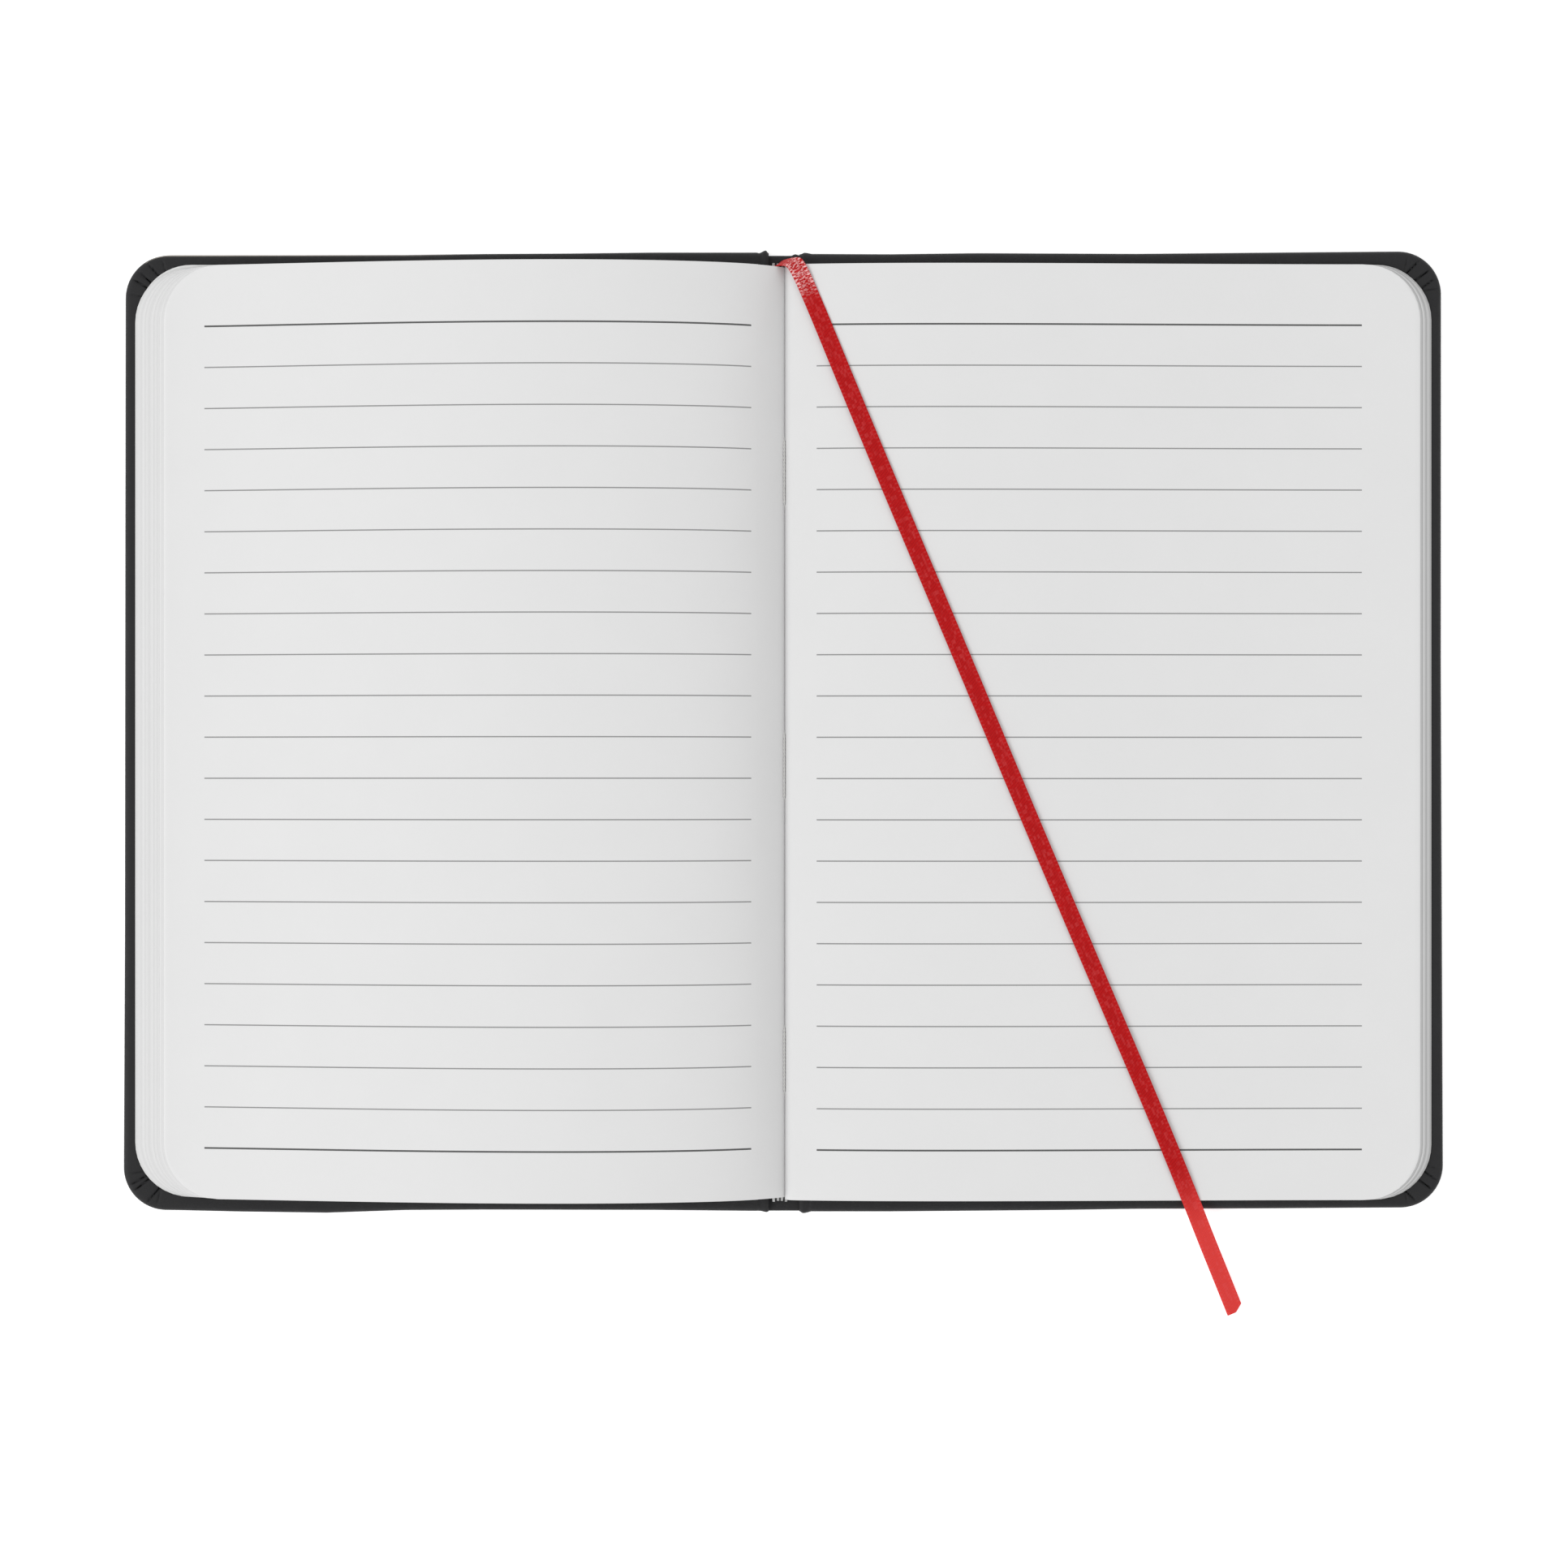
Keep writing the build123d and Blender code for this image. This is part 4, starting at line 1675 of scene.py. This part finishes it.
@dataclass
class Ribbon:
    """The ribbon marker, from the back of the block at the head to its clipped free end."""

    finishes: Finishes
    width: float = 2.6 * MM
    thickness: float = 0.13 * MM
    selvage: float = 0.19 * MM
    length: float = 176.5 * MM
    clip: float = 1.0 * MM
    columns: int = 15
    row_length: float = 0.3 * MM

    FLAT = (0.923, 0.385, 0.0)
    ROUTE = (
        ((-1.5, 69.7, 2.5), (0.1, 0.1, -1.0)), ((-1.1, 70.05, 2.55), (0.06, 0.08, -1.0)),
        ((-0.55, 70.4, 2.8), (0.08, 0.33, -0.95)), ((0.25, 70.52, 3.3), (0.28, 0.46, -0.84)),
        ((0.98, 70.5, 4.0), (0.66, 0.5, -0.42)), ((1.75, 70.12, 4.55), (0.9, 0.35, 0.02)),
        ((2.85, 68.05, 4.45), (0.94, 0.33, 0.1)), ((4.15, 65.0, 4.6), FLAT), ((5.85, 60.95, 4.9), FLAT),
        ((10.3, 50.0, 5.5), FLAT), ((17.6, 32.5, 5.9), FLAT), ((26.95, 10.4, 6.02), FLAT),
        ((37.0, -13.6, 5.76), FLAT), ((47.2, -37.5, 5.32), FLAT), ((55.9, -57.8, 4.92), FLAT),
        ((61.0, -70.25, 4.6), FLAT), ((63.4, -76.25, 3.2), FLAT), ((65.75, -81.8, 1.3), FLAT),
        ((68.2, -87.8, 0.35), FLAT),
    )

    def smooth(self, name: str, places: Sequence[Sequence[float]]) -> np.ndarray:
        """Points along a smooth curve that follows some places.

        Args:
            name: The curve's name.
            places: X, Y, Z of each place, in millimetres.

        Returns:
            One row of X, Y, Z for each point, in metres.
        """
        curve = bpy.data.curves.new(name, "CURVE")
        curve.dimensions = "3D"
        spline = curve.splines.new("NURBS")
        spline.points.add(len(places) - 1)
        for point, place in zip(spline.points, places):
            point.co = (*(value * MM for value in place), 1.0)
        spline.order_u = 3
        spline.use_endpoint_u = True
        spline.resolution_u = 24
        route = new_object(name, curve)
        evaluated = route.evaluated_get(bpy.context.evaluated_depsgraph_get())
        mesh = bpy.data.meshes.new_from_object(evaluated)
        line = np.array([v.co for v in mesh.vertices], float)
        bpy.data.objects.remove(route)
        bpy.data.meshes.remove(mesh)
        return line

    def band(self, line: np.ndarray, edge: np.ndarray) -> tuple[np.ndarray, list, np.ndarray]:
        """Sweeps the ribbon's section down its middle line.

        Args:
            line: Points down the middle.
            edge: For each of them, a point to the side, on the ribbon's right edge.

        Returns:
            The points, the faces, and the distance across and along of each point.
        """
        travelled = np.concatenate([[0.0], np.cumsum(np.linalg.norm(np.diff(line, axis=0), axis=1))])
        total = travelled[-1]
        rows, count = int(total / self.row_length), self.columns
        shares = np.linspace(-1.0, 1.0, count)
        stations = np.repeat(np.linspace(0.0, total, rows), count)
        share = np.tile(shares, rows)
        late = np.clip((stations - total + 3 * MM) / (3 * MM), 0, 1)
        at = stations - self.clip * np.maximum(0.0, (share - 0.05) / 0.95) * late

        def read(values: np.ndarray, places: np.ndarray) -> np.ndarray:
            """Values at distances down the ribbon."""
            return np.column_stack([np.interp(places, travelled, values[:, k]) for k in range(3)])

        def unit(vectors: np.ndarray) -> np.ndarray:
            """The same directions with a length of 1."""
            return vectors / np.linalg.norm(vectors, axis=1, keepdims=True)

        step = 0.2 * MM
        along = unit(read(line, np.minimum(at + step, total)) - read(line, np.maximum(at - step, 0.0)))
        sideways = read(edge - line, at)
        across = unit(sideways - along * (sideways * along).sum(axis=1, keepdims=True))
        normal = np.cross(along, across)
        at_selvage = np.maximum(0.0, (np.abs(share) - 0.62) / 0.38)
        thick = self.thickness + (self.selvage - self.thickness) * at_selvage
        thick = np.where(np.abs(share) > 0.999, thick * 0.35, thick)[:, None]
        middle = read(line, at) + across * (share * self.width / 2)[:, None]
        points = np.vstack([middle + normal * thick / 2, middle - normal * thick / 2])
        size = rows * count
        faces = []
        for row in range(rows - 1):
            for column in range(count - 1):
                a = row * count + column
                faces.append((a, a + count, a + count + 1, a + 1))
                faces.append((size + a, size + a + 1, size + a + count + 1, size + a + count))
            left, right = row * count, row * count + count - 1
            faces.append((left, size + left, size + left + count, left + count))
            faces.append((right, right + count, size + right + count, size + right))
        for column in range(count - 1):
            a, b = column, (rows - 1) * count + column
            faces.append((a, a + 1, size + a + 1, size + a))
            faces.append((b, size + b, size + b + 1, b + 1))
        weave = np.column_stack([share * self.width / 2, at])
        return points, faces, np.vstack([weave, weave])

    def build(self) -> bpy.types.Object:
        """Makes the ribbon as a thin woven band with thicker edges.

        Returns:
            The ribbon.
        """
        middles = [place for place, _ in self.ROUTE]
        sides = [[p + d for p, d in zip(place, side)] for place, side in self.ROUTE]
        line = self.smooth("ribbon_route", middles)
        points, faces, weave = self.band(line, self.smooth("ribbon_side", sides))
        points[:, 2] = np.maximum(points[:, 2], 0.02 * MM)
        piece = mesh_piece("ribbon", points, faces, self.finishes.of[Slot.RIBBON], sharp_angle=1.2)
        layer = piece.data.uv_layers.new(name="weave")
        corner_points = np.empty(len(piece.data.loops), np.int32)
        piece.data.loops.foreach_get("vertex_index", corner_points)
        layer.data.foreach_set("uv", weave[corner_points].astype(np.float32).ravel())
        dress(piece, "open_right_leaves", Slot.RIBBON, "ribbon_marker")
        anchor = RIGHT.back + RIGHT.axis(10) - RIGHT.closed_gutter
        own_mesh(piece)
        log.info("ribbon: %.1f mm long", weave[:, 1].max() / MM)
        return piece


# ---------------------------------------------------------------------------------------------
# Studio
# ---------------------------------------------------------------------------------------------


@dataclass
class Studio:
    """Camera straight above, soft light and a pale table."""

    eye: tuple[float, float, float] = (0.0, -8.0 * MM, 0.72)
    view_width: float = 236.9 * MM
    sensor: float = 36.0
    sky: float = 0.79
    table_size: float = 4.0
    table_gap: float = 0.1 * MM

    def camera(self) -> None:
        """Puts the camera above the pages."""
        data = bpy.data.cameras.new("camera")
        data.sensor_width = self.sensor
        data.lens = self.sensor * self.eye[2] / self.view_width
        data.clip_start = 0.01
        data.clip_end = 20.0
        camera = new_object("camera", data)
        camera.location = self.eye
        bpy.context.scene.camera = camera

    def lamp(self, name: str, place: tuple[float, float, float], size: float, power: float) -> None:
        """A soft square lamp that faces the notebook.

        Args:
            name: The lamp's name.
            place: Where it is.
            size: Length of its side, in metres.
            power: Its power in watts.
        """
        data = bpy.data.lights.new(name, "AREA")
        data.size = size
        data.energy = power
        lamp = new_object(name, data)
        lamp.location = place
        back = np.array(place) / np.linalg.norm(place)
        lamp.rotation_euler = (math.acos(back[2]), 0.0, math.atan2(back[1], back[0]) + math.pi / 2)

    def build(self, finishes: Finishes) -> None:
        """Sets up the light, the table and the colour handling.

        Args:
            finishes: The notebook's materials.
        """
        world = bpy.data.worlds.new("studio")
        world.use_nodes = True
        background = next(n for n in world.node_tree.nodes if n.type == "BACKGROUND")
        background.inputs["Color"].default_value = (1.0, 1.0, 1.0, 1.0)
        background.inputs["Strength"].default_value = self.sky
        bpy.context.scene.world = world
        self.lamp("window", (-1.75, -0.4, 1.85), 1.3, 19.5)
        half = self.table_size / 2
        mesh = bpy.data.meshes.new("table")
        corners = ((-half, -half), (half, -half), (half, half), (-half, half))
        mesh.from_pydata([(x, y, -self.table_gap) for x, y in corners], [], [(0, 1, 2, 3)])
        mesh.materials.append(finishes.table)
        table = new_object("table", mesh)
        settings = bpy.context.scene.view_settings
        settings.view_transform = "Standard"
        settings.look = "None"


def main() -> None:
    """Builds the notebook."""
    logging.basicConfig(level=logging.INFO, format="%(message)s")
    studio = Studio()
    studio.camera()
    finishes = Finishes()
    Ribbon(finishes).build()
    PaperBlock(finishes).build()
    FoldedBacks(finishes).build()
    Sewing(finishes).build()
    Case(finishes).build()
    studio.build(finishes)


if __name__ == "__main__":
    main()
